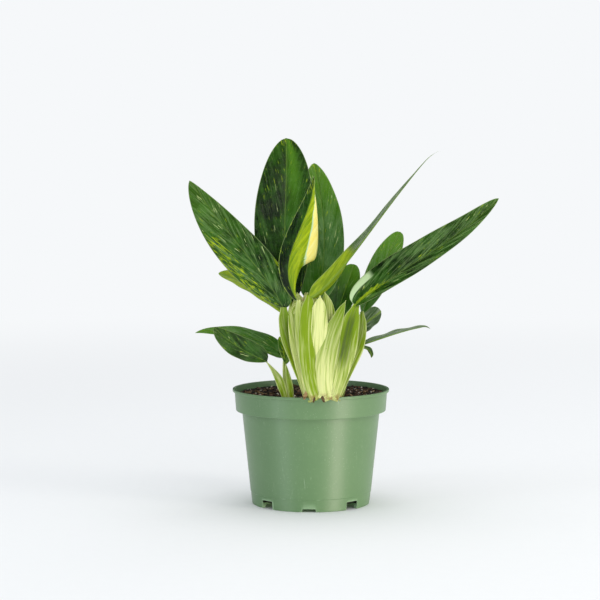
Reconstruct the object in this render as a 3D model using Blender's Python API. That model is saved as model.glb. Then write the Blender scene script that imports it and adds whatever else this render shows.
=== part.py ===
"""A young variegated monstera in a round plastic nursery pot.

Sizes are written in millimetres and turned into metres as each mesh is made.
The origin is on the pot's axis at the level of the surface it stands on, +Z is up,
and the plant grows from the -Y side of the pot.
"""

import math
from collections import namedtuple

import bmesh
import bpy
from mathutils import Vector

MM = 0.001
FIT_GAP = 0.35               # clearance between neighbouring pieces

# ---- pot ----------------------------------------------------------------------
POT_HEIGHT = 112.0
RIM_RADIUS = 76.2            # outside of the lip: a six inch pot
LIP_HEIGHT = 2.4
BAND_TOP_RADIUS = 74.3       # the deep rim band under the lip
BAND_FOOT_RADIUS = 72.9
BAND_FOOT = 91.0             # height where the band ends
WALL_TOP_RADIUS = 67.0       # the tapered wall under the band
BASE_RADIUS = 57.6
WALL = 1.3
STEP_HEIGHT = 12.0           # fine step round the wall above the drain notches
STEP_DEPTH = 0.35
FLOOR_TOP = 5.0
FLOOR_UNDERSIDE = 3.2
FOOT_INNER_RADIUS = 53.8
PAD_RADIUS = 12.0            # flat pad under the middle of the floor
POT_SEGMENTS = 64

NOTCH_COUNT = 8              # tall and low drain notches take turns
NOTCH_TURN = -2.0            # degrees
NOTCH_INNER_RADIUS = 51.5
NOTCH_OUTER_RADIUS = 61.0
TALL_NOTCH = (14.0, 8.0)     # width, height
LOW_NOTCH = (13.0, 3.0)

# ---- potting mix --------------------------------------------------------------
SOIL_LEVEL = 106.9           # at the back; the mix is heaped up to the right
SOIL_HEAP = 1.6
SOIL_BUMP = 0.45
SOIL_SEGMENTS = 40
SOIL_RINGS = (0.14, 0.3, 0.46, 0.62, 0.78, 0.91, 1.0)

# ---- plant --------------------------------------------------------------------
BLADE_THICKNESS = 0.9
BLADE_ROWS = 10
SMALL_BLADE_ROWS = 7
SMALL_BLADE_LENGTH = 70.0
BLADE_STATIONS = (-1.0, -0.5, 0.0, 0.5, 1.0)
BLADE_MIN_HALF = 0.8
BLADE_GAP = 0.7              # from the end of the petiole to the first row
BLADE_END = 0.993            # the last row, as a share of the midrib
STALK_ROWS = 8
STALK_EDGE = 0.45            # half thickness of a winged petiole at its edge
CROWN_SEGMENTS = 20
ROOT_SIDES = 8

# A half blade: its width, how fast it opens at the base and closes at the tip,
# how far it folds up from the midrib, and how much it curls on from there.
Half = namedtuple("Half", "width base_power tip_power fold curl")
# A blade: four points of its midrib, where its upper face looks at even steps
# from base to tip, and its two halves, right being +side = direction x face.
Blade = namedtuple("Blade", "name midrib faces left right material")
# A stalk: four points of its middle, the way its inner face looks, its width at
# those points, its thickness, and how far its edges stand forward (of its width).
Stalk = namedtuple("Stalk", "name middle face widths thickness cup material")

BLADES = [
    Blade("leaf_blade_left",
          [(-26, -71, 195), (-45, -69, 226), (-77, -61, 266), (-115, -46, 315)],
          [(0.1, -1, 0.2), (0.1, -1, 0.2)],
          Half(24, 1.0, 0.75, 12, -10), Half(19, 0.45, 0.8, 22, -12), "leaf_dark"),
    Blade("leaf_blade_tall",
          [(-18, -66, 200), (-25, -57, 250), (-24, -42, 301), (-24, -20, 355)],
          [(0.0, -1, 0.1), (0.0, -1, 0.2)],
          Half(29, 0.75, 0.7, 10, -6), Half(27, 0.75, 0.66, 14, -8), "leaf_dark"),
    Blade("leaf_blade_back_right",
          [(4, -62, 201), (12, -52, 248), (10, -34, 291), (3, -8, 331)],
          [(0.1, -1, 0.1), (0.1, -1, 0.2)],
          Half(22, 0.8, 0.7, 10, -6), Half(19, 0.6, 0.95, 10, -8), "leaf_dark"),
    Blade("leaf_blade_new",
          [(-12, -77, 202), (-21, -79, 240), (-8, -79, 277), (3, -72, 320)],
          [(0.2, -1, 0.0), (0.1, -1, 0.1)],
          Half(10.5, 1.5, 0.7, -20, 0), Half(27, 1.8, 2.2, 50, -100), "leaf_young"),
    Blade("leaf_blade_right_thin",
          [(-2, -77, 206), (32, -77, 239), (74, -71, 294), (121, -60, 348)],
          [(-0.5, 0.75, 0.4), (-0.7, 0.34, 0.6), (-0.8, 0.06, 0.6), (-0.8, 0.06, 0.6)],
          Half(16, 0.7, 0.8, 12, 0), Half(16, 0.7, 0.8, 12, 0), "leaf_dark"),
    Blade("leaf_blade_right_big",
          [(41, -73, 198), (79, -70, 227), (129, -60, 259), (178, -40, 298)],
          [(-0.1, -0.9, 0.35), (-0.2, -0.9, 0.3)],
          Half(18.5, 0.45, 0.6, 8, -6), Half(18, 0.7, 0.8, 48, -10), "leaf_dark"),
    Blade("leaf_blade_right_small",
          [(48, -62, 190), (58, -50, 213), (70, -34, 237), (86, -14, 265)],
          [(0.0, -1, 0.3), (0.0, -1, 0.4)],
          Half(13, 0.7, 0.5, 10, 0), Half(13, 0.7, 0.5, 12, 0), "leaf_dark"),
    Blade("leaf_blade_mid_back",
          [(23, -62, 178), (27, -56, 197), (34, -46, 216), (41, -33, 235)],
          [(0.0, -1, 0.2), (0.0, -1, 0.4)],
          Half(14, 0.6, 0.5, 10, 0), Half(12, 0.6, 0.5, 12, 0), "leaf_dark"),
    Blade("leaf_blade_left_lower",
          [(-22, -58, 187), (-47, -52, 208), (-68, -47, 220), (-88, -45, 227)],
          [(0.2, 0.8, 0.5), (0.1, 0.7, 0.6)],
          Half(10, 0.7, 0.6, 15, 0), Half(10, 0.7, 0.6, 15, 0), "leaf_young"),
    Blade("leaf_blade_low_left_front",
          [(-42, -58, 144), (-57, -63, 152), (-73, -67, 162), (-91, -70, 178)],
          [(-0.1, -0.85, 0.5), (-0.1, -0.85, 0.5)],
          Half(11.5, 0.9, 0.55, 12, 0), Half(12, 0.35, 0.6, 14, 0), "leaf_dark"),
    Blade("leaf_blade_low_left_back",
          [(-26, -52, 147), (-42, -43, 159), (-75, -35, 169), (-111, -32, 169)],
          [(-0.2, -0.5, 0.8), (0.0, -0.45, 0.9)],
          Half(12, 0.6, 0.8, 10, 0), Half(11, 0.6, 0.8, 12, 0), "leaf_dark"),
    Blade("leaf_blade_low_left_young",
          [(-24, -58, 142), (-24, -58, 151), (-27, -58, 160), (-30, -57, 168)],
          [(-0.2, -1, 0.1), (-0.2, -1, 0.3)],
          Half(5, 0.6, 0.7, 15, 0), Half(5, 0.6, 0.7, 15, 0), "leaf_dark"),
    Blade("leaf_blade_low_right_round",
          [(39, -47, 168), (47, -43, 176), (57, -38, 183), (67, -32, 190)],
          [(0.1, 0.9, 0.5), (0.1, 0.9, 0.5)],
          Half(11, 0.6, 0.4, 12, 0), Half(11, 0.6, 0.4, 12, 0), "leaf_dark"),
    Blade("leaf_blade_low_right_thin",
          [(40, -49, 158), (64, -46, 165), (89, -40, 172), (114, -33, 176)],
          [(-0.2, 0.15, 1), (-0.1, 0.1, 1)],
          Half(12, 0.6, 0.8, 14, 0), Half(12, 0.6, 0.8, 14, 0), "leaf_dark"),
    Blade("leaf_blade_low_right_tip",
          [(43, -53, 152), (49, -52, 157), (55, -50, 154), (57, -49, 147)],
          [(0.2, 0.4, 1), (0.8, 0.5, 0.3)],
          Half(5, 0.7, 0.7, 10, 0), Half(5, 0.7, 0.7, 10, 0), "leaf_dark"),
    Blade("leaf_blade_back",
          [(9, -53, 183), (12, -28, 222), (8, 12, 248), (2, 62, 246)],
          [(0.0, -0.8, 0.6), (0.0, 0.3, 1)],
          Half(17, 0.7, 0.7, 12, -6), Half(17, 0.7, 0.7, 12, -6), "leaf_dark"),
]

STALKS = [
    Stalk("petiole_left",
          [(-6, -65, 115.3), (-14, -66, 145), (-22, -68, 170), (-26, -71, 194)],
          (0.3, -1, 0), (5, 10, 12, 7), 2.2, 0.12, "sheath"),
    Stalk("petiole_tall",
          [(-3, -70, 115.3), (-9, -71, 145), (-14, -71, 174), (-18, -67, 199)],
          (0.1, -1, 0), (6, 10, 11, 5), 2.2, 0.1, "sheath"),
    Stalk("petiole_new",
          [(-1, -74.5, 115.3), (-6, -75, 146), (-10, -74.5, 174), (-12, -76.5, 201)],
          (0, -1, 0), (5, 6, 5, 3.6), 2.6, 0.0, "sheath"),
    Stalk("petiole_right_thin",
          [(2, -79, 115.3), (-3, -80, 143), (-4, -79, 174), (-2, -77, 205)],
          (0, -1, 0), (9, 13, 13, 8), 2.6, -0.12, "sheath"),
    Stalk("sheath_cream",
          [(6, -74.5, 115.3), (5, -75.5, 142), (5, -75, 174), (5, -73, 205)],
          (0, -1, 0), (7, 9, 9, 4), 1.8, -0.08, "sheath_pale"),
    Stalk("sheath_pointed",
          [(10, -70.5, 115.6), (10, -71, 142), (14, -71, 174), (13, -69, 208)],
          (0, -1, 0), (8, 11, 13, 4), 1.8, -0.08, "sheath"),
    Stalk("sheath_broad",
          [(14, -79.5, 115.6), (13, -80.5, 144), (20, -79, 174), (31, -76, 201)],
          (0, -1, 0), (8, 13, 12, 4), 2.0, -0.12, "sheath"),
    Stalk("petiole_right_big",
          [(22, -75, 115.8), (28, -74.5, 142), (33, -73, 168), (41, -72, 196)],
          (0.1, -1, 0), (8, 14, 17, 7), 2.2, 0.14, "sheath"),
    Stalk("petiole_right_small",
          [(26, -68.5, 115.8), (36, -69, 143), (45, -67, 166), (48, -62, 189)],
          (-0.2, -1, 0), (5, 8, 8, 3.6), 2.0, 0.1, "sheath"),
    Stalk("petiole_back_right",
          [(7, -65.5, 115.2), (6, -66, 145), (4, -64, 173), (4, -62, 200)],
          (0, -1, 0), (5, 5, 4, 3), 2.6, 0.0, "sheath"),
    Stalk("petiole_mid_back",
          [(18, -66, 115.2), (20, -66, 137), (22, -64, 159), (23, -62, 177)],
          (0, -1, 0), (5, 5, 4, 3), 2.6, 0.0, "sheath"),
    Stalk("petiole_left_lower",
          [(-3, -59, 115.2), (-9, -59, 144), (-15, -58, 168), (-21, -58, 186)],
          (0, -1, 0), (5, 6, 5, 3), 2.6, 0.0, "sheath"),
    Stalk("petiole_back",
          [(9, -59, 115.2), (10, -60, 138), (10, -58, 160), (9, -53.5, 182)],
          (0, -1, 0), (5, 5, 4, 3), 2.6, 0.0, "sheath"),
    Stalk("petiole_low_left_front",
          [(-24.5, -55, 108.3), (-29, -56, 123), (-34, -57, 133), (-41.5, -57.7, 143)],
          (0.2, -1, 0), (4, 7, 5, 2), 1.8, 0.1, "sheath"),
    Stalk("petiole_low_left_back",
          [(-21.5, -50, 108.3), (-23.5, -50, 122), (-25, -51, 135), (-26, -52, 146)],
          (0.2, -1, 0), (4, 5, 4, 2), 1.8, 0.0, "sheath"),
    Stalk("petiole_low_left_young",
          [(-19, -55, 108.3), (-20, -56, 120), (-22, -57, 131), (-24, -58, 141)],
          (0, -1, 0), (4, 5, 4, 2), 1.8, 0.0, "sheath"),
    Stalk("petiole_low_right_round",
          [(22, -44, 109.5), (28, -45, 133), (34, -46, 150), (39, -47, 167)],
          (0, -1, 0), (3.4, 3.4, 3, 2.4), 2.4, 0.0, "sheath"),
    Stalk("petiole_low_right_thin",
          [(26, -46.5, 109.5), (31, -49, 130), (36, -49, 144), (39.5, -49, 157)],
          (0, -1, 0), (3.4, 3.4, 3, 2.4), 2.4, 0.0, "sheath"),
    Stalk("petiole_low_right_tip",
          [(29.5, -47.5, 109.5), (34, -53, 128), (39, -53, 141), (42.5, -53, 151)],
          (0, -1, 0), (3, 3, 2.4, 2), 2.0, 0.0, "sheath"),
]

# Rings of the swollen stem bases, bottom to top: x, y, half width, half depth, z.
CROWN_RINGS = [
    (10, -58, 9, 6, 98),
    (10, -58.5, 14, 10, 101.5),
    (10, -59, 17, 12, 105),
    (10, -63.5, 18.5, 15.5, 109.2),
    (10.5, -65, 19.5, 16.3, 111.5),
    (11, -65, 19, 15.5, 113.2),
    (11, -65, 17.5, 14, 114.1),
]
LEFT_SHOOT_RINGS = [
    (-21.5, -52.5, 3.5, 4, 100),
    (-21.5, -52.5, 6, 6.5, 103.5),
    (-21.5, -52.5, 6, 6.5, 106.3),
    (-21.5, -52.5, 5, 5.5, 107.4),
]
RIGHT_SHOOT_RINGS = [
    (25.5, -45.5, 3.5, 3, 101),
    (25.5, -45.5, 6, 4.6, 104.5),
    (25.5, -45.5, 6, 4.6, 107.8),
    (25.5, -45.5, 5, 3.8, 108.9),
]
# Stubs of root at the foot of the crown: points and radii from crown to tip.
ROOTS = {
    "aerial_root_left": ([(-3.8, -76.2, 114.2), (-6, -78.8, 112.4), (-7, -78.9, 108.6)],
                         (1.3, 1.3, 0.9)),
    "aerial_root_middle": ([(3, -79.2, 108.7), (2.6, -79.4, 107.0), (2, -79, 105.4)],
                           (1.0, 0.9, 0.6)),
    "aerial_root_right": ([(10.5, -79.4, 108.7), (11, -79.7, 107.2), (12, -79.3, 105.9)],
                          (1.1, 1.0, 0.7)),
}

# Colour, roughness and metallic value of each material.
FINISHES = {
    "pot_plastic": ((0.17, 0.31, 0.17), 0.42, 0.0),
    "potting_mix": ((0.035, 0.022, 0.016), 0.95, 0.0),
    "leaf_dark": ((0.015, 0.075, 0.012), 0.32, 0.0),
    "leaf_young": ((0.25, 0.42, 0.03), 0.35, 0.0),
    "sheath": ((0.36, 0.52, 0.10), 0.4, 0.0),
    "sheath_pale": ((0.70, 0.74, 0.42), 0.4, 0.0),
    "root": ((0.38, 0.20, 0.08), 0.8, 0.0),
}

# ---- small steps and roundings of the pot's section ----
CORNER_RUN = 3.0
CORNER_RISE = 2.2
SHELF_ROUND = 0.9
SHELF_INSET = 0.8
SHELF_RUN = 2.1
SHELF_RISE = 1.5
SHELF_TOP = 3.2
LIP_SLOPE = 0.8
LIP_STEP = 0.5
EDGE_ROUND = 0.4
RIM_INNER = 2.6
RIM_FLAT = 2.2
# Inset from the band's foot radius and rise above its foot.
BAND_CURVE = [(0.0, 3.0), (0.5, 1.3), (1.7, 0.2)]
# Reach beyond the wall's top radius and drop below the band's foot.
CREASE_CURVE = [(0.6, 0.4), (0.0, 1.4)]
STEP_DROP = 0.3
# Inset from the stepped wall and height above the ground.
FOOT_CURVE = [(0.0, 2.2), (0.6, 0.7), (1.6, 0.0)]
FOOT_SLOPE = 0.6
PAD_SLOPE = 1.0
# How the loose mix lies, and its slack inside the pot.
HEAP_LEAN = (0.9, 0.25)
SOIL_WAVES = ((0.21, 0.17), 0.11, 0.13)
SOIL_SLACK = 0.2
# The ring parting the crown from the rim.
RIM_PARTING = 1.6
PARTING_DEPTH = 10.0


def finish(name):
    """The named material, made once."""
    material = bpy.data.materials.get(name)
    if material:
        return material
    colour, roughness, metallic = FINISHES[name]
    material = bpy.data.materials.new(name)
    material.use_nodes = True
    shader = material.node_tree.nodes["Principled BSDF"]
    shader.inputs["Base Color"].default_value = (*colour, 1.0)
    shader.inputs["Roughness"].default_value = roughness
    shader.inputs["Metallic"].default_value = metallic
    material.diffuse_color = (*colour, 1.0)
    return material


def add_object(name, bm, material, smooth=True):
    """Turn a bmesh in millimetres into a named object in metres."""
    bmesh.ops.scale(bm, vec=(MM, MM, MM), verts=bm.verts)
    mesh = bpy.data.meshes.new(name)
    bm.to_mesh(mesh)
    bm.free()
    if smooth:
        mesh.shade_smooth()
        mesh.set_sharp_from_angle(angle=math.radians(45))
    thing = bpy.data.objects.new(name, mesh)
    bpy.context.scene.collection.objects.link(thing)
    if material:
        mesh.materials.append(finish(material))
    return thing


def through(points, s):
    """The cubic curve through four evenly spaced values, and its slope, at s."""
    knots = (0.0, 1 / 3, 2 / 3, 1.0)
    value = points[0] * 0.0
    slope = points[0] * 0.0
    for i, point in enumerate(points):
        others = [knots[j] for j in range(4) if j != i]
        scale = math.prod(knots[i] - k for k in others)
        a, b, c = (s - k for k in others)
        value = value + point * (a * b * c / scale)
        slope = slope + point * ((a * b + b * c + a * c) / scale)
    return value, slope


def between(vectors, s):
    """The direction at s, turning evenly from each vector to the next."""
    stretch = min(int(s * (len(vectors) - 1)), len(vectors) - 2)
    return vectors[stretch].lerp(vectors[stretch + 1], s * (len(vectors) - 1) - stretch)


def length_of(points, steps=24):
    """Length of the curve through the points."""
    places = [through(points, i / steps)[0] for i in range(steps + 1)]
    return sum((b - a).length for a, b in zip(places, places[1:]))


def half_width(half, s):
    """Width of a half blade at s, with its widest place scaled to its full width."""
    p, q = half.base_power, half.tip_power
    widest = (p / (p + q)) ** p * (q / (p + q)) ** q
    return max(BLADE_MIN_HALF, half.width * s ** p * (1 - s) ** q / widest)


def across(half, width, u):
    """Place on a half blade at u of its width: out along the side, up along the face."""
    start = math.radians(half.fold)
    turn = math.radians(half.curl)
    if abs(turn) < 0.01:
        return width * u * math.cos(start), width * u * math.sin(start)
    end = start + turn * u
    out = (math.sin(end) - math.sin(start)) / turn
    up = (math.cos(start) - math.cos(end)) / turn
    return width * out, width * up


def blade_point(blade, s, u):
    """A point of the blade's sheet: s along the midrib, u from -1 left to +1 right."""
    midrib = [Vector(p) for p in blade.midrib]
    place, slope = through(midrib, s)
    along = slope.normalized()
    face = between([Vector(f) for f in blade.faces], s)
    side = along.cross(face).normalized()
    face = side.cross(along)
    half = blade.right if u > 0 else blade.left
    out, up = across(half, half_width(half, s), abs(u))
    return place + side * math.copysign(out, u) + face * up


def make_blade(blade):
    """A leaf blade: a sheet on its midrib, given its thickness by Solidify."""
    length = length_of([Vector(p) for p in blade.midrib])
    rows = SMALL_BLADE_ROWS if length < SMALL_BLADE_LENGTH else BLADE_ROWS
    first = BLADE_GAP / length
    bm = bmesh.new()
    grid = []
    for i in range(rows + 1):
        s = first + (BLADE_END - first) * i / rows
        grid.append([bm.verts.new(blade_point(blade, s, u)) for u in BLADE_STATIONS])
    for low, high in zip(grid, grid[1:]):
        for i in range(len(low) - 1):
            bm.faces.new((low[i], low[i + 1], high[i + 1], high[i]))
    thing = add_object(blade.name, bm, blade.material)
    skin = thing.modifiers.new("thickness", "SOLIDIFY")
    skin.thickness = BLADE_THICKNESS * MM
    skin.offset = 0.0
    return thing


def loft(rings):
    """A closed solid through rings of points, with flat ends."""
    bm = bmesh.new()
    loops = [[bm.verts.new(p) for p in ring] for ring in rings]
    count = len(loops[0])
    for low, high in zip(loops, loops[1:]):
        for i in range(count):
            j = (i + 1) % count
            bm.faces.new((low[i], low[j], high[j], high[i]))
    bm.faces.new(list(reversed(loops[0])))
    bm.faces.new(loops[-1])
    bmesh.ops.recalc_face_normals(bm, faces=bm.faces)
    return bm


def stalk_ring(stalk, s):
    """The crescent cross-section of a stalk at s."""
    place, slope = through([Vector(p) for p in stalk.middle], s)
    width = through([float(w) for w in stalk.widths], s)[0]
    along = slope.normalized()
    side = along.cross(Vector(stalk.face)).normalized()
    face = side.cross(along)
    half = width / 2
    edge = min(STALK_EDGE, stalk.thickness / 2)

    def at(u, front):
        thick = edge + (stalk.thickness / 2 - edge) * (1 - u * u)
        up = stalk.cup * width * u * u + (thick if front else -thick)
        return place + side * (half * u) + face * up

    front = [at(u, True) for u in BLADE_STATIONS]
    back = [at(u, False) for u in reversed(BLADE_STATIONS)]
    return front + back


def make_stalk(stalk):
    """A petiole or sheath, lofted through its cross-sections."""
    rings = [stalk_ring(stalk, i / STALK_ROWS) for i in range(STALK_ROWS + 1)]
    return add_object(stalk.name, loft(rings), stalk.material)


def oval(x, y, half_x, half_y, z, segments=CROWN_SEGMENTS):
    """A level oval ring."""
    turns = [2 * math.pi * i / segments for i in range(segments)]
    return [Vector((x + half_x * math.cos(t), y + half_y * math.sin(t), z)) for t in turns]


def make_base(name, rings, grow=0.0, material="sheath"):
    """A swollen stem base through its oval rings, or its cutter if it is grown."""
    ovals = []
    for i, (x, y, half_x, half_y, z) in enumerate(rings):
        ends = (i == len(rings) - 1) - (i == 0)
        ovals.append(oval(x, y, half_x + grow, half_y + grow, z + grow * ends))
    return add_object(name, loft(ovals), material)


def make_root(name, points, radii):
    """A short tapering root stub."""
    places = [Vector(p) for p in points]
    rings = []
    for i, place in enumerate(places):
        before = places[max(i - 1, 0)]
        after = places[min(i + 1, len(places) - 1)]
        along = (after - before).normalized()
        side = along.cross(Vector((0, 1, 0))).normalized()
        up = side.cross(along)
        turns = [2 * math.pi * k / ROOT_SIDES for k in range(ROOT_SIDES)]
        rings.append([place + (side * math.cos(t) + up * math.sin(t)) * radii[i]
                      for t in turns])
    return add_object(name, loft(rings), "root")


def turned(name, profile, segments, material, closed=False):
    """A solid turned about Z from a profile that runs down its outer side."""
    bm = bmesh.new()
    points = [bm.verts.new((r, 0, z)) for r, z in profile]
    for a, b in zip(points, points[1:]):
        bm.edges.new((a, b))
    if closed:
        bm.edges.new((points[-1], points[0]))
    thing = add_object(name, bm, material, smooth=False)
    screw = thing.modifiers.new("turn", "SCREW")
    screw.steps = segments
    screw.render_steps = segments
    screw.use_merge_vertices = True
    screw.merge_threshold = 0.00001
    screw.use_normal_calculate = True
    screw.use_normal_flip = closed
    screw.use_smooth_shade = True
    return thing


def cut(thing, cutter):
    """Cut one object out of another, and hide the cutter."""
    cutter.hide_render = True
    cutter.display_type = "WIRE"
    boolean = thing.modifiers.new("cut " + cutter.name, "BOOLEAN")
    boolean.operation = "DIFFERENCE"
    boolean.solver = "EXACT"
    boolean.object = cutter


def wall_radius(z):
    """Outer radius of the tapered wall at height z."""
    return BASE_RADIUS + (WALL_TOP_RADIUS - BASE_RADIUS) * z / (BAND_FOOT - 1.4)


def pot_profile():
    """Half section of the pot: floor, inside, rim, outside, foot and pad."""
    lip_foot = POT_HEIGHT - LIP_HEIGHT
    inside = [
        (0.0, FLOOR_TOP),
        (wall_radius(FLOOR_TOP) - WALL - CORNER_RUN, FLOOR_TOP),
        (wall_radius(FLOOR_TOP) - WALL, FLOOR_TOP + CORNER_RISE),
        (WALL_TOP_RADIUS - WALL, BAND_FOOT - SHELF_ROUND),
        (WALL_TOP_RADIUS - SHELF_INSET, BAND_FOOT + SHELF_INSET),
        (BAND_FOOT_RADIUS - SHELF_RUN, BAND_FOOT + SHELF_RISE),
        (BAND_FOOT_RADIUS - WALL, BAND_FOOT + SHELF_TOP),
        (BAND_TOP_RADIUS - WALL, lip_foot - LIP_SLOPE),
        (RIM_RADIUS - RIM_INNER, POT_HEIGHT - EDGE_ROUND),
        (RIM_RADIUS - RIM_FLAT, POT_HEIGHT),
    ]
    outside = [
        (RIM_RADIUS - EDGE_ROUND, POT_HEIGHT),
        (RIM_RADIUS, POT_HEIGHT - EDGE_ROUND),
        (RIM_RADIUS, lip_foot + EDGE_ROUND),
        (RIM_RADIUS - LIP_STEP, lip_foot),
        (BAND_TOP_RADIUS, lip_foot - LIP_SLOPE),
    ]
    outside += [(BAND_FOOT_RADIUS - inset, BAND_FOOT + rise) for inset, rise in BAND_CURVE]
    outside += [(WALL_TOP_RADIUS + reach, BAND_FOOT - drop) for reach, drop in CREASE_CURVE]
    outside += [
        (wall_radius(STEP_HEIGHT), STEP_HEIGHT),
        (wall_radius(STEP_HEIGHT) - STEP_DEPTH, STEP_HEIGHT - STEP_DROP),
    ]
    outside += [(wall_radius(z) - STEP_DEPTH - inset, z) for inset, z in FOOT_CURVE]
    under = [
        (FOOT_INNER_RADIUS, 0.0),
        (FOOT_INNER_RADIUS - FOOT_SLOPE, FLOOR_UNDERSIDE),
        (PAD_RADIUS + PAD_SLOPE, FLOOR_UNDERSIDE),
        (PAD_RADIUS, 0.0),
        (0.0, 0.0),
    ]
    return inside + outside + under


def make_pot():
    """The pot, with its drain notches cut through the foot and the wall."""
    pot = turned("nursery_pot", pot_profile(), POT_SEGMENTS, "pot_plastic")
    middle = (NOTCH_INNER_RADIUS + NOTCH_OUTER_RADIUS) / 2
    depth = NOTCH_OUTER_RADIUS - NOTCH_INNER_RADIUS
    below = 1.0
    for i in range(NOTCH_COUNT):
        width, height = TALL_NOTCH if i % 2 else LOW_NOTCH
        bm = bmesh.new()
        bmesh.ops.create_cube(bm, size=1.0)
        bmesh.ops.scale(bm, vec=(width, depth, height + below), verts=bm.verts)
        cutter = add_object("notch_cutter", bm, None, smooth=False)
        turn = math.radians(360 / NOTCH_COUNT * i + NOTCH_TURN)
        cutter.location = Vector((math.sin(turn) * middle, -math.cos(turn) * middle,
                                  (height - below) / 2)) * MM
        cutter.rotation_euler = (0, 0, turn)
        cut(pot, cutter)
    return pot


def soil_height(x, y):
    """Height of the loose surface: low at the back left, heaped to the right."""
    right, back = HEAP_LEAN
    heap = max(0.0, (x * right - y * back) / BAND_TOP_RADIUS)
    first, second, slant = SOIL_WAVES
    bumps = (math.sin(x * first[0] + 1.0) * math.cos(y * first[1])
             + math.sin(x * second - y * slant + 2.0)) / 2
    return SOIL_LEVEL + SOIL_HEAP * heap + SOIL_BUMP * bumps


def make_soil():
    """The potting mix: fills the pot and ends in an uneven surface."""
    turns = [2 * math.pi * i / SOIL_SEGMENTS for i in range(SOIL_SEGMENTS)]
    gap = FIT_GAP + SOIL_SLACK
    side = [
        (wall_radius(FLOOR_TOP) - WALL - CORNER_RUN - SOIL_SLACK, FLOOR_TOP + FIT_GAP),
        (wall_radius(FLOOR_TOP) - WALL - gap, FLOOR_TOP + CORNER_RISE + gap),
        (WALL_TOP_RADIUS - WALL - gap, BAND_FOOT - SHELF_ROUND),
        (WALL_TOP_RADIUS - SHELF_INSET - gap, BAND_FOOT + SHELF_INSET + gap),
        (BAND_FOOT_RADIUS - SHELF_RUN - FIT_GAP, BAND_FOOT + SHELF_RISE + gap),
        (BAND_FOOT_RADIUS - WALL - gap, BAND_FOOT + SHELF_TOP + gap),
    ]
    rings = [[Vector((r * math.cos(t), r * math.sin(t), z)) for t in turns]
             for r, z in side]
    top_radius = side[-1][0]
    for share in reversed(SOIL_RINGS):
        r = top_radius * share
        rings.append([Vector((r * math.cos(t), r * math.sin(t),
                              soil_height(r * math.cos(t), r * math.sin(t))))
                      for t in turns])
    return add_object("potting_mix", loft(rings), "potting_mix")


def make_rim_clearance():
    """A ring a little larger than the top of the pot, to part the crown from it."""
    inner = BAND_TOP_RADIUS - WALL - RIM_PARTING
    outer = RIM_RADIUS + FIT_GAP
    low = BAND_FOOT - PARTING_DEPTH
    high = POT_HEIGHT + FIT_GAP
    profile = [(outer, low), (outer, high), (inner, high), (inner, low)]
    return turned("rim_cutter", profile, POT_SEGMENTS, None, closed=True)


def build():
    """Make every piece of the plant and its pot."""
    for old in list(bpy.data.objects):
        bpy.data.objects.remove(old)
    make_pot()
    soil = make_soil()
    crown = make_base("plant_crown", CROWN_RINGS)
    cut(crown, make_rim_clearance())
    make_base("shoot_base_left", LEFT_SHOOT_RINGS)
    make_base("shoot_base_right", RIGHT_SHOOT_RINGS)
    hollows = (CROWN_RINGS, LEFT_SHOOT_RINGS, RIGHT_SHOOT_RINGS)
    for i, rings in enumerate(hollows):
        cut(soil, make_base(f"hollow_cutter_{i}", rings, FIT_GAP, None))
    for name, (points, radii) in ROOTS.items():
        make_root(name, points, radii)
    for blade in BLADES:
        make_blade(blade)
    for stalk in STALKS:
        make_stalk(stalk)


build()
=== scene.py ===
"""Looks for a young variegated monstera in a round plastic nursery pot.

Shapes are written in millimetres and turned into metres as each mesh is made. The leaf,
stalk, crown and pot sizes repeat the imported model's, so each fine piece lies on its node.
"""

import math
import random
from collections import namedtuple

import bmesh
import bpy
import numpy as np
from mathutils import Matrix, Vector, noise


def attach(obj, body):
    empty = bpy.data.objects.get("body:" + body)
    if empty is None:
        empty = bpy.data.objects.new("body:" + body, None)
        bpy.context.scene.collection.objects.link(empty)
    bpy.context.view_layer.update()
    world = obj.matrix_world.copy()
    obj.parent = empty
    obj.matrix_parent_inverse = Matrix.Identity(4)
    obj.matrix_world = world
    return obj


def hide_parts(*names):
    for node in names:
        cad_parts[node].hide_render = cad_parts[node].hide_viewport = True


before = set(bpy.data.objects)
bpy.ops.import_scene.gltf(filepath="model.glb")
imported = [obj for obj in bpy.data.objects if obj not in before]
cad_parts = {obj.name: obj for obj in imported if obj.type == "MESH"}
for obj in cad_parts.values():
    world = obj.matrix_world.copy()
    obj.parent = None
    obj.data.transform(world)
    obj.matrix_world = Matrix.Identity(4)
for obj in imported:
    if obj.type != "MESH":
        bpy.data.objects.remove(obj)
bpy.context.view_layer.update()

MM = 0.001
SEED = 11

# ---- camera, light and floor (metres) -----------------------------------------
CAMERA_PLACE = (-0.0106, -2.0, 0.3535)
CAMERA_DOWN = 0.0775         # radians below level
LENS = 123.9
SENSOR = 36.0
BACKGROUND = (0.922, 0.939, 0.956)
GLOSS_SURROUND = (0.07, 0.075, 0.08)   # what glossy surfaces mirror between the softboxes
FLOOR_COLOUR = (0.80, 0.81, 0.82)
FLOOR_GRAIN = 1.02           # how much lighter its lightest grains are
FLOOR_ROUGH = 0.9
FLOOR_RADIUS = 6.0
FLOOR_SEGMENTS = 96
FLOOR_HEIGHT = -0.0002       # just under the pot, so that they do not flicker
FLOOR_FADE = (0.35, 2.2)     # the floor melts into the background between these radii
# Softboxes: place, width, height, power in watts, colour.
SOFTBOXES = {
    "softbox_left": ((-1.5, -1.0, 0.9), 0.5, 1.0, 4.0, (0.90, 0.97, 1.0)),
    "softbox_right": ((1.5, -1.0, 1.1), 0.5, 1.0, 7.0, (1.0, 0.97, 0.88)),
    "softbox_front": ((0.55, -1.7, 1.5), 0.5, 0.4, 2.2, (1.0, 1.0, 1.0)),
    "softbox_top": ((0.1, 0.1, 1.8), 1.0, 0.8, 4.0, (1.0, 1.0, 1.0)),
    "softbox_behind": ((0.9, 1.3, 1.0), 0.8, 0.8, 2.0, (1.0, 1.0, 1.0)),
}
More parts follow.
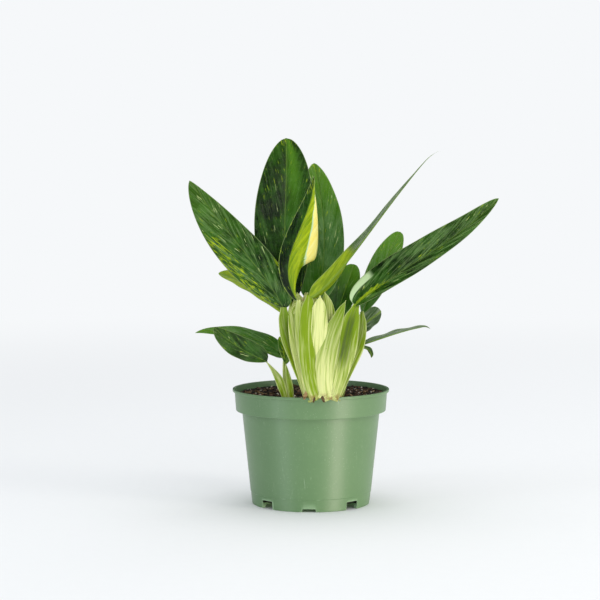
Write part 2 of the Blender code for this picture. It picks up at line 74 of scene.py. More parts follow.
# Low strips that only the pot sees, for the soft bands down its sides.
POT_STRIPS = {
    "strip_left": ((-0.94, -0.80, -0.42), 0.15, 1.0, 3.8, (0.86, 0.97, 1.0)),
    "strip_right": ((0.92, -0.82, -0.42), 0.24, 1.0, 12.5, (1.0, 0.93, 0.78)),
}
LIGHT_AIM = (0.0, -0.04, 0.17)

# ---- colours, as linear red, green and blue --------------------------------------
LEAF_DARK = (0.0010, 0.0100, 0.0003)
LEAF_GREEN = (0.028, 0.116, 0.0030)
# Painted sheen colour of the leaves.
LEAF_PAINTED_SHEEN = (0.120, 0.260, 0.075)
LEAF_TIP = (0.080, 0.215, 0.006)
STREAK_GREY = (0.130, 0.245, 0.068)
LINE_GREY = (0.200, 0.310, 0.110)
FLECK = (0.46, 0.58, 0.22)
# Young lime green, partly a painted glow of light shining through the leaf.
LIME_GLOW_DEEP = (0.150, 0.270, 0.002)
LIME_GLOW_BRIGHT = (0.430, 0.540, 0.006)
MINT = (0.58, 0.76, 0.42)
CREAM_DEEP = (0.95, 0.80, 0.16)
CREAM_BRIGHT = (1.0, 0.92, 0.34)
RIB_GREEN = (0.13, 0.235, 0.03)
MARGIN_PALE = (0.26, 0.36, 0.13)
UNDER_DARK = (0.040, 0.095, 0.018)
UNDER_GREEN = (0.095, 0.175, 0.050)
UNDER_GREY = (0.26, 0.33, 0.20)
# Underside lime, partly a painted glow of light shining through the leaf.
UNDER_LIME_GLOW_DEEP = (0.180, 0.290, 0.003)
UNDER_LIME_GLOW_BRIGHT = (0.38, 0.50, 0.020)
UNDER_CREAM = (0.80, 0.70, 0.22)
UNDER_RIB = (0.18, 0.30, 0.03)
UNDER_MARGIN = (0.33, 0.43, 0.18)
STALK_LIME = (0.240, 0.370, 0.003)
STALK_CREAM = (0.84, 0.88, 0.36)
STALK_GREEN = (0.085, 0.190, 0.004)
# Painted shade down the groove of a stalk's front.
GROOVE_PAINTED_SHADE = (0.050, 0.105, 0.002)
LINE_WHITE = (0.78, 0.82, 0.60)
STALK_MARGIN = (0.78, 0.84, 0.40)
BLOT_BROWN = (0.27, 0.13, 0.035)
FRECKLE_BROWN = (0.13, 0.085, 0.02)
POT_DEEP = (0.082, 0.160, 0.068)
POT_GREEN = (0.104, 0.188, 0.084)
POT_MOTTLE = (0.135, 0.225, 0.112)
POT_SPECK = (0.33, 0.43, 0.30)
POT_SCUFF = (0.27, 0.37, 0.245)
POT_EDGE = (0.27, 0.40, 0.25)
SHADOW_SHARE = 0.35          # of the dark colour, in the pits of loose matter
# Loose matter: dark and light colour, roughness, scale and depth of its grain.
GRAINS = {
    "peat": ((0.006, 0.004, 0.003), (0.034, 0.021, 0.012), 0.82, 420.0, 0.0004),
    "bark": ((0.022, 0.010, 0.006), (0.26, 0.125, 0.055), 0.62, 300.0, 0.0003),
    "fibre": ((0.09, 0.05, 0.022), (0.42, 0.28, 0.14), 0.7, 500.0, 0.0001),
    "perlite": ((0.45, 0.41, 0.33), (0.80, 0.76, 0.66), 0.8, 500.0, 0.0002),
    "root": ((0.035, 0.016, 0.006), (0.62, 0.40, 0.17), 0.7, 420.0, 0.0002),
}

# ---- pot ----------------------------------------------------------------------
POT_HEIGHT = 112.0
RIM_RADIUS = 76.2
LIP_HEIGHT = 2.4
BAND_TOP_RADIUS = 74.3
BAND_FOOT_RADIUS = 72.9
BAND_FOOT = 91.0
WALL_TOP_RADIUS = 67.0
BASE_RADIUS = 57.6
WALL = 1.3
STEP_HEIGHT = 12.0
STEP_DEPTH = 0.35
FLOOR_TOP = 5.0
FLOOR_UNDERSIDE = 3.2
FOOT_INNER_RADIUS = 53.8
PAD_RADIUS = 12.0
# Small steps of the pot's section.
SHELF_DROP = 0.2
SHELF_INSET = 0.3
SHELF_RISE = 1.6
LIP_INNER_DROP = 0.6
LIP_DROP = 0.3
RIM_FLAT = 2.5
CREASE_DROP = 0.9
WALL_END = 1.4
STEP_DROP = 0.25
FOOT_SLOPE = 0.6
PAD_SLOPE = 1.0
POT_SEGMENTS = 256
ROUNDING = 0.45              # radius of the pot's small edges
ROUNDING_STEPS = 4
NOTCH_COUNT = 8
NOTCH_TURN = -2.0
NOTCH_MIDDLE = 53.5
NOTCH_DEPTH = 15.0
NOTCH_CORNER = 1.1
SHARP_ANGLE = 40
TALL_NOTCH = (14.0, 8.0)
LOW_NOTCH = (13.0, 3.0)

# ---- potting mix --------------------------------------------------------------
SOIL_LEVEL = 106.9
SOIL_HEAP = 1.6
SOIL_BUMP = 0.45
SOIL_RADIUS = 71.1
SOIL_SEGMENTS = 220
SOIL_RINGS = 80
SOIL_GRAIN = 1.1             # how far the loose surface rises and falls
SOIL_SINK = 0.4
# Small steps of the mix's side inside the pot.
SOIL_CORNER = 3.2
SOIL_RISE = 2.8
SOIL_NECK = 1.5
SOIL_SHOULDER = 2.0
SOIL_SHELF = 3.0
SOIL_SLACK = 0.6
SOIL_GAP = 0.4
SOIL_REACH = 0.985           # how far the rings of the top close in on the middle
HEAP_LEAN = (0.9, 0.25)
SOIL_WAVES = (0.21, 0.17, 0.11, 0.13)
# Clods, crumbs and grains: pitch, shift and share of the rise.
CLODS = ((0.16, 3.0, 0.9), (0.55, 7.0, 0.6), (1.3, 1.0, 0.3))
CRUMB_WIDTH = (0.45, 0.8)
CRUMB_DEPTH = (0.5, 1.0)
CRUMB_JAG = 0.55
CRUMB_PITCH = 2.3
CRUMB_INSET = 0.42           # of the largest size, kept clear of the pot's wall
CRUMB_TONES = (1.3, 2.5, 0.3)  # spread, power and drop of their lightness
FIBRE_WIDTH = 0.16
FIBRE_STRETCH = 0.6
# Loose bits: how many, smallest and largest size, flatness, slot's material.
CRUMBS = {
    "bark_chips": (430, 1.8, 6.0, 0.45, "bark"),
    "peat_crumbs": (900, 0.8, 2.2, 0.8, "peat"),
    "perlite_crumbs": (170, 1.0, 2.6, 0.85, "perlite"),
    "bark_fibres": (170, 3.5, 8.0, 0.12, "fibre"),
}

# ---- plant --------------------------------------------------------------------
BLADE_ROWS = 96
BLADE_COLUMNS = 15           # to each side of the midrib
COLUMN_POWER = 1.35          # columns lie closer together at the midrib
BLADE_MIN_HALF = 0.8
TIP_MIN_HALF = 0.12
BLADE_THICK = 0.62
BLADE_EDGE_THICK = 0.16
MIDRIB_GROOVE = (0.4, 0.9)   # depth and half width on the upper face
MIDRIB_RIDGE = (1.5, 0.35, 1.1)   # height at base, height at tip and half width, below
VEIN_TAN = 0.24              # side veins leave the midrib at this slope
VEIN_SLANT = 1.1             # how far a side vein runs up the blade as it goes out
VEIN_COUNT = 9.0
VEIN_RELIEF = 0.2
MARGIN_WAVE = 0.55
MARGIN_WAVES = 3.3
MARGIN_PHASE = 1.3
FULL_WAVE_WIDTH = 10         # half widths below which a blade's waves and relief fade
FULL_RELIEF_WIDTH = 6.0
STALK_ROWS = 60
STALK_COLUMNS = 14
STALK_EDGE = 0.3
STALK_RIBS = 6.0
STALK_RELIEF = 0.12
RIB_LEAN = 0.15
STALK_REACH = (-0.075, 1.04)  # runs on into the crown and under the blade
STALK_MIN_WIDTH = 1.4
STALK_TOP_SPREAD = 0.9       # share of the table's width that is left at the top
STALK_SPREAD_END = (0.5, 1.0)
SHEATH_ROUND = (0.80, 1.03)  # a free sheath rounds off between these shares of its length
SHEATH_TIP = 0.15
STALK_NARROWS = (0.90, 1.03, 0.4)  # from, to, and how much narrower
STALK_RIPPLE = (0.05, 2.4)   # share of the width, and waves along the stalk
BASE_POINTS = 120            # round a stem base
BASE_BLUR = 6
RINGS_PER_STEP = 10
BASE_SHRINK = 0.93
CREASE_DEPTH = 0.08
BASE_GRAIN = 0.015
CROWN_CREASES = 11
SHOOT_CREASES = 5
RIM_GAP = 1.6                # between the crown and the rim's inside
CROWN_HEM = (6, 5, 150, 171)  # height and count of the waves at its top, from z, to z
CROWN_PALENESS = (0.75, 0.3)
ROOT_SIDES = 18
ROOT_ROWS = 26
ROOT_KNOBS = 0.22
ROOT_TIP = 0.86
ROOT_TAPER = 0.75
BLADE_START = -0.012         # the sheet starts a little below the blade's foot
DROOP_START = 0.9
VEIN_SHIFT = 3.0             # sets a leaf's right half apart from its left
# Where the painted sheen lies across the right half: from, to, softness.
SHEEN_BAND = (0.08, 0.50, 0.30)
# The new leaf's right half is narrower below its cream part: share, from, to.
NEW_LEAF_WAIST = (0.60, 0.27, 0.42)

# A half blade: its width, how fast it opens at the base and closes at the tip,
# how far it folds up from the midrib, and how much it curls on from there.
Half = namedtuple("Half", "width base_power tip_power fold curl")
Blade = namedtuple("Blade", "name midrib faces left right")
Stalk = namedtuple("Stalk", "name middle face widths thickness cup")
# How a blade is coloured: grey streaks, overall lightness, which is partly painted sheen, and cream
# flecks, 0 to 1.
Look = namedtuple("Look", "streaks light flecks")
# How a stalk looks: how much wider it spreads than its node, cream at its foot, cream at
# its top, green at its top, and painted shade down the groove of its front.
Tint = namedtuple("Tint", "spread foot top green groove")

BLADES = [
    Blade("leaf_blade_left",
          [(-26, -71, 195), (-45, -69, 226), (-77, -61, 266), (-115, -46, 315)],
          [(0.1, -1, 0.2), (0.1, -1, 0.2)],
          Half(24, 1.0, 0.75, 12, -10), Half(19, 0.45, 0.8, 22, -12)),
    Blade("leaf_blade_tall",
          [(-18, -66, 200), (-25, -57, 250), (-24, -42, 301), (-24, -20, 355)],
          [(0.0, -1, 0.1), (0.0, -1, 0.2)],
          Half(29, 0.6, 0.58, 10, -6), Half(27, 0.6, 0.54, 14, -8)),
    Blade("leaf_blade_back_right",
          [(4, -62, 201), (12, -52, 248), (10, -34, 291), (3, -8, 331)],
          [(0.1, -1, 0.1), (0.1, -1, 0.2)],
          Half(24, 0.28, 0.60, 10, -6), Half(19, 0.45, 0.66, 10, -8)),
    Blade("leaf_blade_new",
          [(-12, -77, 202), (-21, -79, 240), (-8, -79, 277), (3, -72, 320)],
          [(0.2, -1, 0.0), (0.1, -1, 0.1)],
          Half(10.5, 0.7, 0.7, -20, 0), Half(27, 1.5, 2.0, 50, -100)),
    Blade("leaf_blade_right_thin",
          [(-2, -77, 206), (32, -77, 239), (74, -71, 294), (121, -60, 348)],
          [(-0.5, 0.75, 0.4), (-0.7, 0.34, 0.6), (-0.8, 0.06, 0.6), (-0.8, 0.06, 0.6)],
          Half(16, 0.7, 1.5, 12, 0), Half(16, 0.7, 1.5, 12, 0)),
    Blade("leaf_blade_right_big",
          [(41, -73, 198), (79, -70, 227), (129, -60, 259), (178, -40, 298)],
          [(-0.1, -0.9, 0.35), (-0.2, -0.9, 0.3)],
          Half(18.5, 0.30, 0.6, 8, -6), Half(18, 0.7, 0.8, 48, -10)),
    Blade("leaf_blade_right_small",
          [(48, -62, 190), (58, -50, 213), (70, -34, 237), (86, -14, 265)],
          [(0.0, -1, 0.3), (0.0, -1, 0.4)],
          Half(13, 0.7, 0.5, 10, 0), Half(13, 0.7, 0.5, 12, 0)),
    Blade("leaf_blade_mid_back",
          [(23, -62, 178), (27, -56, 197), (34, -46, 216), (41, -33, 235)],
          [(0.0, -1, 0.2), (0.0, -1, 0.4)],
          Half(14, 0.6, 0.5, 10, 0), Half(12, 0.6, 0.5, 12, 0)),
    Blade("leaf_blade_left_lower",
          [(-22, -58, 187), (-47, -52, 208), (-68, -47, 220), (-88, -45, 227)],
          [(0.2, 0.8, 0.5), (0.1, 0.7, 0.6)],
          Half(10, 0.7, 0.6, 15, 0), Half(10, 0.7, 0.6, 15, 0)),
    Blade("leaf_blade_low_left_front",
          [(-42, -58, 144), (-57, -63, 152), (-73, -67, 162), (-91, -70, 178)],
          [(-0.1, -0.85, 0.5), (-0.1, -0.85, 0.5)],
          Half(11.5, 0.9, 0.55, 12, 0), Half(12, 0.35, 0.6, 14, 0)),
    Blade("leaf_blade_low_left_back",
          [(-26, -52, 147), (-42, -43, 159), (-75, -35, 169), (-111, -32, 169)],
          [(-0.2, -0.5, 0.8), (0.0, -0.45, 0.9)],
          Half(12, 0.6, 0.8, 10, 0), Half(11, 0.6, 0.8, 12, 0)),
    Blade("leaf_blade_low_left_young",
          [(-24, -58, 142), (-24, -58, 151), (-27, -58, 160), (-30, -57, 168)],
          [(-0.2, -1, 0.1), (-0.2, -1, 0.3)],
          Half(5, 0.6, 0.7, 15, 0), Half(5, 0.6, 0.7, 15, 0)),
    Blade("leaf_blade_low_right_round",
          [(39, -47, 168), (47, -43, 176), (57, -38, 183), (67, -32, 190)],
          [(0.1, 0.9, 0.5), (0.1, 0.9, 0.5)],
          Half(11, 0.6, 0.4, 12, 0), Half(11, 0.6, 0.4, 12, 0)),
    Blade("leaf_blade_low_right_thin",
          [(40, -49, 158), (64, -46, 165), (89, -40, 172), (114, -33, 176)],
          [(-0.2, 0.15, 1), (-0.1, 0.1, 1)],
          Half(12, 0.6, 0.8, 14, 0), Half(12, 0.6, 0.8, 14, 0)),
    Blade("leaf_blade_low_right_tip",
          [(43, -53, 152), (49, -52, 157), (55, -50, 154), (57, -49, 147)],
          [(0.2, 0.4, 1), (0.8, 0.5, 0.3)],
          Half(5, 0.7, 0.7, 10, 0), Half(5, 0.7, 0.7, 10, 0)),
    Blade("leaf_blade_back",
          [(9, -53, 183), (12, -28, 222), (8, 12, 248), (2, 62, 246)],
          [(0.0, -0.8, 0.6), (0.0, 0.3, 1)],
          Half(17, 0.7, 0.7, 12, -6), Half(17, 0.7, 0.7, 12, -6)),
]

# How far the last stretch of a blade bends down, in mm.
DROOPS = {"leaf_blade_right_thin": 5.0, "leaf_blade_low_right_thin": 3.0}

# The light values are partly the leaves' own tone and partly painted sheen.
LOOKS = {
    "leaf_blade_left": Look(0.85, 0.30, 0.55),
    "leaf_blade_tall": Look(0.14, 0.12, 0.35),
    "leaf_blade_back_right": Look(0.50, 0.80, 0.35),
    "leaf_blade_new": Look(0.05, 0.10, 0.10),
    "leaf_blade_right_thin": Look(0.95, 0.40, 0.30),
    "leaf_blade_right_big": Look(1.0, 0.25, 0.45),
    "leaf_blade_right_small": Look(0.45, 0.85, 0.25),
    "leaf_blade_mid_back": Look(0.10, 0.60, 0.15),
    "leaf_blade_left_lower": Look(0.20, 0.60, 0.20),
    "leaf_blade_low_left_front": Look(0.35, 0.25, 0.60),
    "leaf_blade_low_left_back": Look(0.75, 0.70, 0.35),
    "leaf_blade_low_left_young": Look(0.30, 0.50, 0.20),
    "leaf_blade_low_right_round": Look(0.95, 1.30, 0.20),
    "leaf_blade_low_right_thin": Look(0.70, 0.45, 0.30),
    "leaf_blade_low_right_tip": Look(0.40, 0.35, 0.30),
    "leaf_blade_back": Look(0.45, 0.35, 0.40),
}

# Painted sheen: extra lightness painted on the right half beside the midrib.
SHEENS = {"leaf_blade_tall": 0.50, "leaf_blade_back_right": 0.20}

STALKS = [
    Stalk("petiole_left",
          [(-6, -65, 115.3), (-14, -66, 145), (-22, -68, 170), (-26, -71, 194)],
          (0.3, -1, 0), (5, 10, 13, 12), 2.2, 0.12),
    Stalk("petiole_tall",
          [(-3, -70, 115.3), (-9, -71, 145), (-14, -71, 174), (-18, -67, 199)],
          (0.1, -1, 0), (6, 10, 12, 9), 2.2, 0.1),
    Stalk("petiole_new",
          [(-1, -74.5, 115.3), (-6, -75, 146), (-10, -74.5, 174), (-12, -76.5, 201)],
          (0, -1, 0), (5, 7, 8, 7), 2.6, 0.0),
    Stalk("petiole_right_thin",
          [(2, -79, 115.3), (-3, -80, 143), (-4, -79, 174), (-2, -77, 205)],
          (0, -1, 0), (9, 13, 15, 13), 2.6, -0.12),
    Stalk("sheath_cream",
          [(6, -74.5, 115.3), (5, -77, 142), (6, -79.5, 174), (8, -77.5, 205)],
          (0, -1, 0), (7, 12, 15, 13), 1.8, -0.08),
    Stalk("sheath_pointed",
          [(10, -70.5, 115.6), (10, -71, 142), (14, -71, 174), (13, -69, 208)],
          (0, -1, 0), (8, 11, 15, 12), 1.8, -0.08),
    Stalk("sheath_broad",
          [(14, -79.5, 115.6), (13, -80.5, 144), (20, -79, 174), (31, -76, 201)],
          (0, -1, 0), (8, 13, 12, 6), 2.0, -0.12),
    Stalk("petiole_right_big",
          [(22, -75, 115.8), (28, -74.5, 142), (33, -73, 168), (41, -72, 196)],
          (0.1, -1, 0), (8, 14, 18, 13), 2.2, 0.14),
    Stalk("petiole_right_small",
          [(26, -68.5, 115.8), (36, -69, 143), (45, -67, 166), (48, -62, 189)],
          (-0.2, -1, 0), (5, 8, 9, 7), 2.0, 0.1),
    Stalk("petiole_back_right",
          [(7, -65.5, 115.2), (6, -66, 145), (4, -64, 173), (4, -62, 200)],
          (0, -1, 0), (5, 5, 4, 3), 2.6, 0.0),
    Stalk("petiole_mid_back",
          [(18, -66, 115.2), (20, -66, 137), (22, -64, 159), (23, -62, 177)],
          (0, -1, 0), (5, 5, 4, 3), 2.6, 0.0),
    Stalk("petiole_left_lower",
          [(-3, -59, 115.2), (-9, -59, 144), (-15, -58, 168), (-21, -58, 186)],
          (0, -1, 0), (5, 6, 5, 3), 2.6, 0.0),
    Stalk("petiole_back",
          [(9, -59, 115.2), (10, -60, 138), (10, -58, 160), (9, -53.5, 182)],
          (0, -1, 0), (5, 5, 4, 3), 2.6, 0.0),
    Stalk("petiole_low_left_front",
          [(-24.5, -55, 108.3), (-29, -56, 123), (-34, -57, 133), (-41.5, -57.7, 143)],
          (0.2, -1, 0), (4, 7, 5, 2), 1.8, 0.1),
    Stalk("petiole_low_left_back",
          [(-21.5, -50, 108.3), (-23.5, -50, 122), (-25, -51, 135), (-26, -52, 146)],
          (0.2, -1, 0), (4, 5, 4, 2), 1.8, 0.0),
    Stalk("petiole_low_left_young",
          [(-19, -55, 108.3), (-20, -56, 120), (-22, -57, 131), (-24, -58, 141)],
          (0, -1, 0), (4, 5, 4, 2), 1.8, 0.0),
    Stalk("petiole_low_right_round",
          [(22, -44, 109.5), (28, -45, 133), (34, -46, 150), (39, -47, 167)],
          (0, -1, 0), (3.4, 3.4, 3, 2.4), 2.4, 0.0),
    Stalk("petiole_low_right_thin",
          [(26, -46.5, 109.5), (31, -49, 130), (36, -49, 144), (39.5, -49, 157)],
          (0, -1, 0), (3.4, 3.4, 3, 2.4), 2.4, 0.0),
    Stalk("petiole_low_right_tip",
          [(29.5, -47.5, 109.5), (34, -53, 128), (39, -53, 141), (42.5, -53, 151)],
          (0, -1, 0), (3, 3, 2.4, 2), 2.0, 0.0),
]

TINTS = {
    "petiole_left": Tint(1.25, 0.60, -0.10, 0.45, 0.35),
    "petiole_tall": Tint(1.40, 0.75, 0.30, 0.15, 0.0),
    "petiole_new": Tint(1.50, 0.50, 0.35, 0.10, 0.0),
    "petiole_right_thin": Tint(1.15, 0.45, -0.15, 0.05, 0.0),
    "sheath_cream": Tint(1.50, 0.75, 1.0, 0.0, 0.0),
    "sheath_pointed": Tint(1.45, 0.80, 0.30, 0.05, 0.0),
    "sheath_broad": Tint(1.45, 0.95, 0.25, 0.30, 0.0),
    "petiole_right_big": Tint(1.30, 0.65, 0.05, 0.12, 0.9),
    "petiole_right_small": Tint(1.60, 0.40, 0.20, 0.15, 0.3),
}
PLAIN_TINT = Tint(1.15, 0.35, 0.15, 0.35, 0.0)

# Rings of the swollen stem bases, bottom to top: x, y, half width, half depth, z.
CROWN_RINGS = [
    (10, -58, 9, 6, 98),
    (10, -58.5, 14, 10, 101.5),
    (10, -59, 17, 12, 105),
    (10, -63.5, 18.5, 15.5, 109.2),
    (10.5, -65, 19.5, 16.3, 111.5),
    (11, -65, 19, 15.5, 113.2),
    (11, -66, 18.5, 13.2, 115.6),
    (10.5, -67.5, 19.5, 9.5, 121),
    (10.5, -69, 21.5, 6.6, 133),
    (11.5, -69.7, 25, 4.6, 149),
    (13, -69.7, 27, 2.8, 162),
    (11, -69.6, 27, 1.4, 171),
    (0, -69.6, 20, 1.2, 183),
    (-4, -69.6, 17, 1.0, 193),
    (-6, -69.6, 12, 0.7, 199),
    (-7, -69.6, 9, 0.5, 207),
]
LEFT_SHOOT_RINGS = [
    (-21.5, -52.5, 3.5, 4, 100),
    (-21.5, -52.5, 6, 6.5, 103.5),
    (-21.5, -52.5, 6, 6.5, 106.3),
    (-21.5, -52.5, 4.4, 4.8, 109.0),
]
RIGHT_SHOOT_RINGS = [
    (25.5, -45.5, 3.5, 3, 101),
    (25.5, -45.5, 6, 4.6, 104.5),
    (25.5, -45.5, 6, 4.6, 107.8),
    (25.5, -45.5, 4.4, 3.2, 110.4),
]
# Stubs of root: points and radii from crown to tip, and how pale they are.
ROOTS = {
    "aerial_root_left": ([(-3.0, -75.5, 118.0), (-5.8, -78.4, 114.4), (-6.6, -79.0, 110.6)],
                         (1.9, 1.7, 1.0), 1.0),
    "aerial_root_middle": ([(3.4, -78.6, 113.2), (2.4, -79.4, 110.4), (2.0, -79.2, 107.6)],
                           (1.3, 1.1, 0.6), -0.2),
    "aerial_root_right": ([(10.2, -79.0, 113.4), (11.2, -79.8, 110.6), (12.2, -79.6, 108.0)],
                          (1.5, 1.3, 0.8), -0.1),
}


# ---- node helpers --------------------------------------------------------------

def add_thing(name, data):
    """An object in the scene that holds the given data."""
    thing = bpy.data.objects.new(name, data)
    bpy.context.scene.collection.objects.link(thing)
    return thing


class Shade:
    """A material, with short ways to add and link its nodes."""

    def __init__(self, name, gloss=0.5):
        self.material = bpy.data.materials.new(name)
        self.material.use_nodes = True
        self.tree = self.material.node_tree
        self.shader = self.tree.nodes["Principled BSDF"]
        self.shader.inputs["Specular IOR Level"].default_value = gloss
        self.colour = None

    def add(self, kind, inputs, **settings):
        node = self.tree.nodes.new(kind)
        for key, value in settings.items():
            setattr(node, key, value)
        for key, value in inputs.items():
            self.put(node.inputs[key], value)
        return node

    def put(self, socket, value):
        if isinstance(value, bpy.types.NodeSocket):
            self.tree.links.new(value, socket)
        elif isinstance(value, tuple) and socket.type == "RGBA":
            socket.default_value = (*value, 1.0)
        else:
            socket.default_value = value

    def math(self, operation, a, b=0.0, c=0.0, clamp=False):
        node = self.add("ShaderNodeMath", {0: a, 1: b, 2: c}, operation=operation,
                        use_clamp=clamp)
        return node.outputs[0]

    def times(self, a, b, clamp=False):
        return self.math("MULTIPLY", a, b, clamp=clamp)

    def plus(self, a, b, clamp=False):
        return self.math("ADD", a, b, clamp=clamp)

    def scaled(self, value, factor, offset):
        return self.math("MULTIPLY_ADD", value, factor, offset)

    def fade(self, value, low, high, start=0.0, stop=1.0):
        """start below low, stop above high, and smooth between them."""
        node = self.add("ShaderNodeMapRange",
                        {"Value": value, "From Min": low, "From Max": high,
                         "To Min": start, "To Max": stop},
                        interpolation_type="SMOOTHSTEP")
        return node.outputs["Result"]

    def mix(self, share, a, b):
        node = self.add("ShaderNodeMix", {"Factor": share}, data_type="RGBA")
        self.put(node.inputs[6], a)
        self.put(node.inputs[7], b)
        return node.outputs[2]

    def paint(self, share, colour):
        """Lays another colour over the material's colour so far."""
        self.colour = self.mix(share, self.colour, colour)

    def split(self, vector):
        return self.add("ShaderNodeSeparateXYZ", {0: vector}).outputs

    def join(self, x, y, z=0.0):
        return self.add("ShaderNodeCombineXYZ", {0: x, 1: y, 2: z}).outputs[0]

    def attribute(self, name):
        return self.add("ShaderNodeAttribute", {}, attribute_name=name).outputs["Vector"]

    def place(self):
        """Place on the object, in metres."""
        return self.add("ShaderNodeTexCoord", {}).outputs["Object"]

    def noise(self, vector, scale, detail=2.0, rough=0.5, twist=0.0):
        node = self.add("ShaderNodeTexNoise",
                        {"Vector": vector, "Scale": scale, "Detail": detail,
                         "Roughness": rough, "Distortion": twist})
        return node.outputs["Fac"]

    def cells(self, vector, scale):
        """Distance to the nearest of scattered points."""
        node = self.add("ShaderNodeTexVoronoi", {"Vector": vector, "Scale": scale})
        return node.outputs["Distance"]

    def bump(self, height, depth):
        """Adds relief of the given depth in metres over what is there already."""
        node = self.add("ShaderNodeBump", {"Height": height, "Distance": depth, "Strength": 1.0})
        before = self.shader.inputs["Normal"]
        if before.is_linked:
            self.tree.links.new(before.links[0].from_socket, node.inputs["Normal"])
        self.tree.links.new(node.outputs[0], before)

    def finish(self, roughness):
        self.put(self.shader.inputs["Base Color"], self.colour)
        self.put(self.shader.inputs["Roughness"], roughness)
        return self.material


# ---- materials -----------------------------------------------------------------

def leaf_coordinates(shade, seed):
    """Signed share across, share along, and places over and along the side veins in mm."""
    u, s, _ = shade.split(shade.attribute("leaf_uv"))
    out, inset, along = shade.split(shade.attribute("leaf_place"))
    over = shade.math("SUBTRACT", out, shade.times(along, VEIN_TAN))
    half = shade.times(shade.math("SIGN", u), VEIN_SHIFT)
    shift = shade.plus(shade.times(seed, 40.0), half)

    def streaks(across, length, turn=0.0):
        """Coordinates for marks of that size in mm, drawn out along the veins."""
        return shade.join(shade.math("DIVIDE", over, across), shade.math("DIVIDE", along, length),
                          shade.plus(shift, turn))

    return s, out, inset, streaks


def leaf_upper():
    """Dark waxy green with grey streaks, cream flecks, a pale margin and painted sheen."""
    shade = Shade("leaf_upper", 0.24)
    seed, greying, light = shade.split(shade.attribute("leaf_look"))
    lime, cream, flecks = shade.split(shade.attribute("leaf_zones"))
    s, out, inset, streaks = leaf_coordinates(shade, seed)
    place = shade.place()

    patches = shade.noise(place, 48.0, 3.0, 0.6)
    bands = shade.noise(streaks(2.6, 26.0), 1.0, 4.0, 0.62, 0.2)
    depth = shade.plus(shade.times(patches, 0.7), shade.times(bands, 0.3))
    # Lightness from the look, partly painted sheen, makes the leaf paler green.
    depth = shade.plus(depth, shade.times(light, 0.40))
    shade.colour = shade.mix(shade.fade(depth, 0.44, 0.80), LEAF_DARK,
                       LEAF_GREEN)
    # Painted sheen: greyish pale green where the leaf is lightest.
    shade.paint(shade.fade(depth, 0.72, 1.15), LEAF_PAINTED_SHEEN)
    tip = shade.times(shade.fade(s, 0.40, 1.0), shade.fade(light, 0.0, 0.8))
    shade.paint(tip, LEAF_TIP)

    grey = shade.times(shade.fade(bands, 0.46, 0.64), greying)
    shade.paint(shade.times(grey, 0.62), STREAK_GREY)
    lines = shade.noise(streaks(0.9, 22.0), 1.0, 2.0)
    thin = shade.times(shade.fade(lines, 0.5, 0.7),
                      shade.scaled(greying, 0.42, 0.02))
    shade.paint(thin, LINE_GREY)

    dash = shade.fade(shade.noise(streaks(1.3, 13.0, 9.0), 1.0, 1.5, 0.4), 0.67, 0.70)
    clumps = shade.fade(shade.noise(place, 38.0, 1.0), 0.48, 0.60)
    spots = shade.fade(shade.cells(streaks(1.5, 3.0, 5.0), 1.0), 0.07, 0.14, 0.35, 0.0)
    marks = shade.math("MAXIMUM", shade.times(dash, clumps), spots)
    marks = shade.times(marks, shade.times(flecks, 1.8), clamp=True)
    shade.paint(marks, FLECK)

    young_and_glow = shade.mix(shade.fade(bands, 0.32, 0.70), LIME_GLOW_DEEP,
                      LIME_GLOW_BRIGHT)
    broken = shade.scaled(shade.noise(streaks(1.0, 9.0, 2.0), 1.0, 3.0), 2.4, -1.2)
    # Lime of young parts, partly a painted glow of light through the leaf.
    shade.paint(shade.fade(shade.plus(lime, broken), 0.35, 0.60), young_and_glow)
    shade.paint(shade.fade(cream, 0.1, 0.4), MINT)
    pale = shade.mix(shade.fade(bands, 0.3, 0.75), CREAM_DEEP, CREAM_BRIGHT)
    shade.paint(shade.fade(cream, 0.6, 0.9), pale)

    rib = shade.fade(out, 0.25, 0.8, 0.5, 0.0)
    shade.paint(rib, RIB_GREEN)
    margin = shade.fade(inset, 0.2, 0.75, 0.6, 0.0)
    shade.paint(margin, MARGIN_PALE)

    rough = shade.scaled(patches, 0.20, 0.16)
    shade.bump(bands, 0.0008)
    shade.bump(lines, 0.00018)
    shade.bump(shade.noise(place, 420.0, 2.0), 0.00018)
    return shade.finish(rough)


def leaf_under():
    """The paler, duller underside, with its raised lime midrib."""
    shade = Shade("leaf_under", 0.25)
    seed, greying, _ = shade.split(shade.attribute("leaf_look"))
    lime, cream, _ = shade.split(shade.attribute("leaf_zones"))
    _, out, inset, streaks = leaf_coordinates(shade, seed)
    place = shade.place()
    bands = shade.noise(streaks(2.2, 26.0), 1.0, 4.0, 0.6, 0.2)
    patches = shade.noise(place, 60.0, 3.0)
    shade.colour = shade.mix(patches, UNDER_DARK, UNDER_GREEN)
    grey = shade.times(shade.fade(bands, 0.45, 0.62), greying)
    shade.paint(grey, UNDER_GREY)
    young_and_glow = shade.mix(shade.fade(bands, 0.35, 0.68), UNDER_LIME_GLOW_DEEP,
                      UNDER_LIME_GLOW_BRIGHT)
    # Lime of young parts, partly a painted glow of light through the leaf.
    shade.paint(shade.fade(lime, 0.1, 0.9), young_and_glow)
    shade.paint(shade.fade(cream, 0.6, 0.9), UNDER_CREAM)
    rib = shade.fade(out, 0.9, 1.7, 0.85, 0.0)
    shade.paint(rib, UNDER_RIB)
    margin = shade.fade(inset, 0.25, 0.8, 0.5, 0.0)
    shade.paint(margin, UNDER_MARGIN)
    shade.bump(bands, 0.0006)
    shade.bump(shade.noise(place, 500.0, 2.0), 0.00012)
    return shade.finish(shade.scaled(patches, 0.15, 0.34))


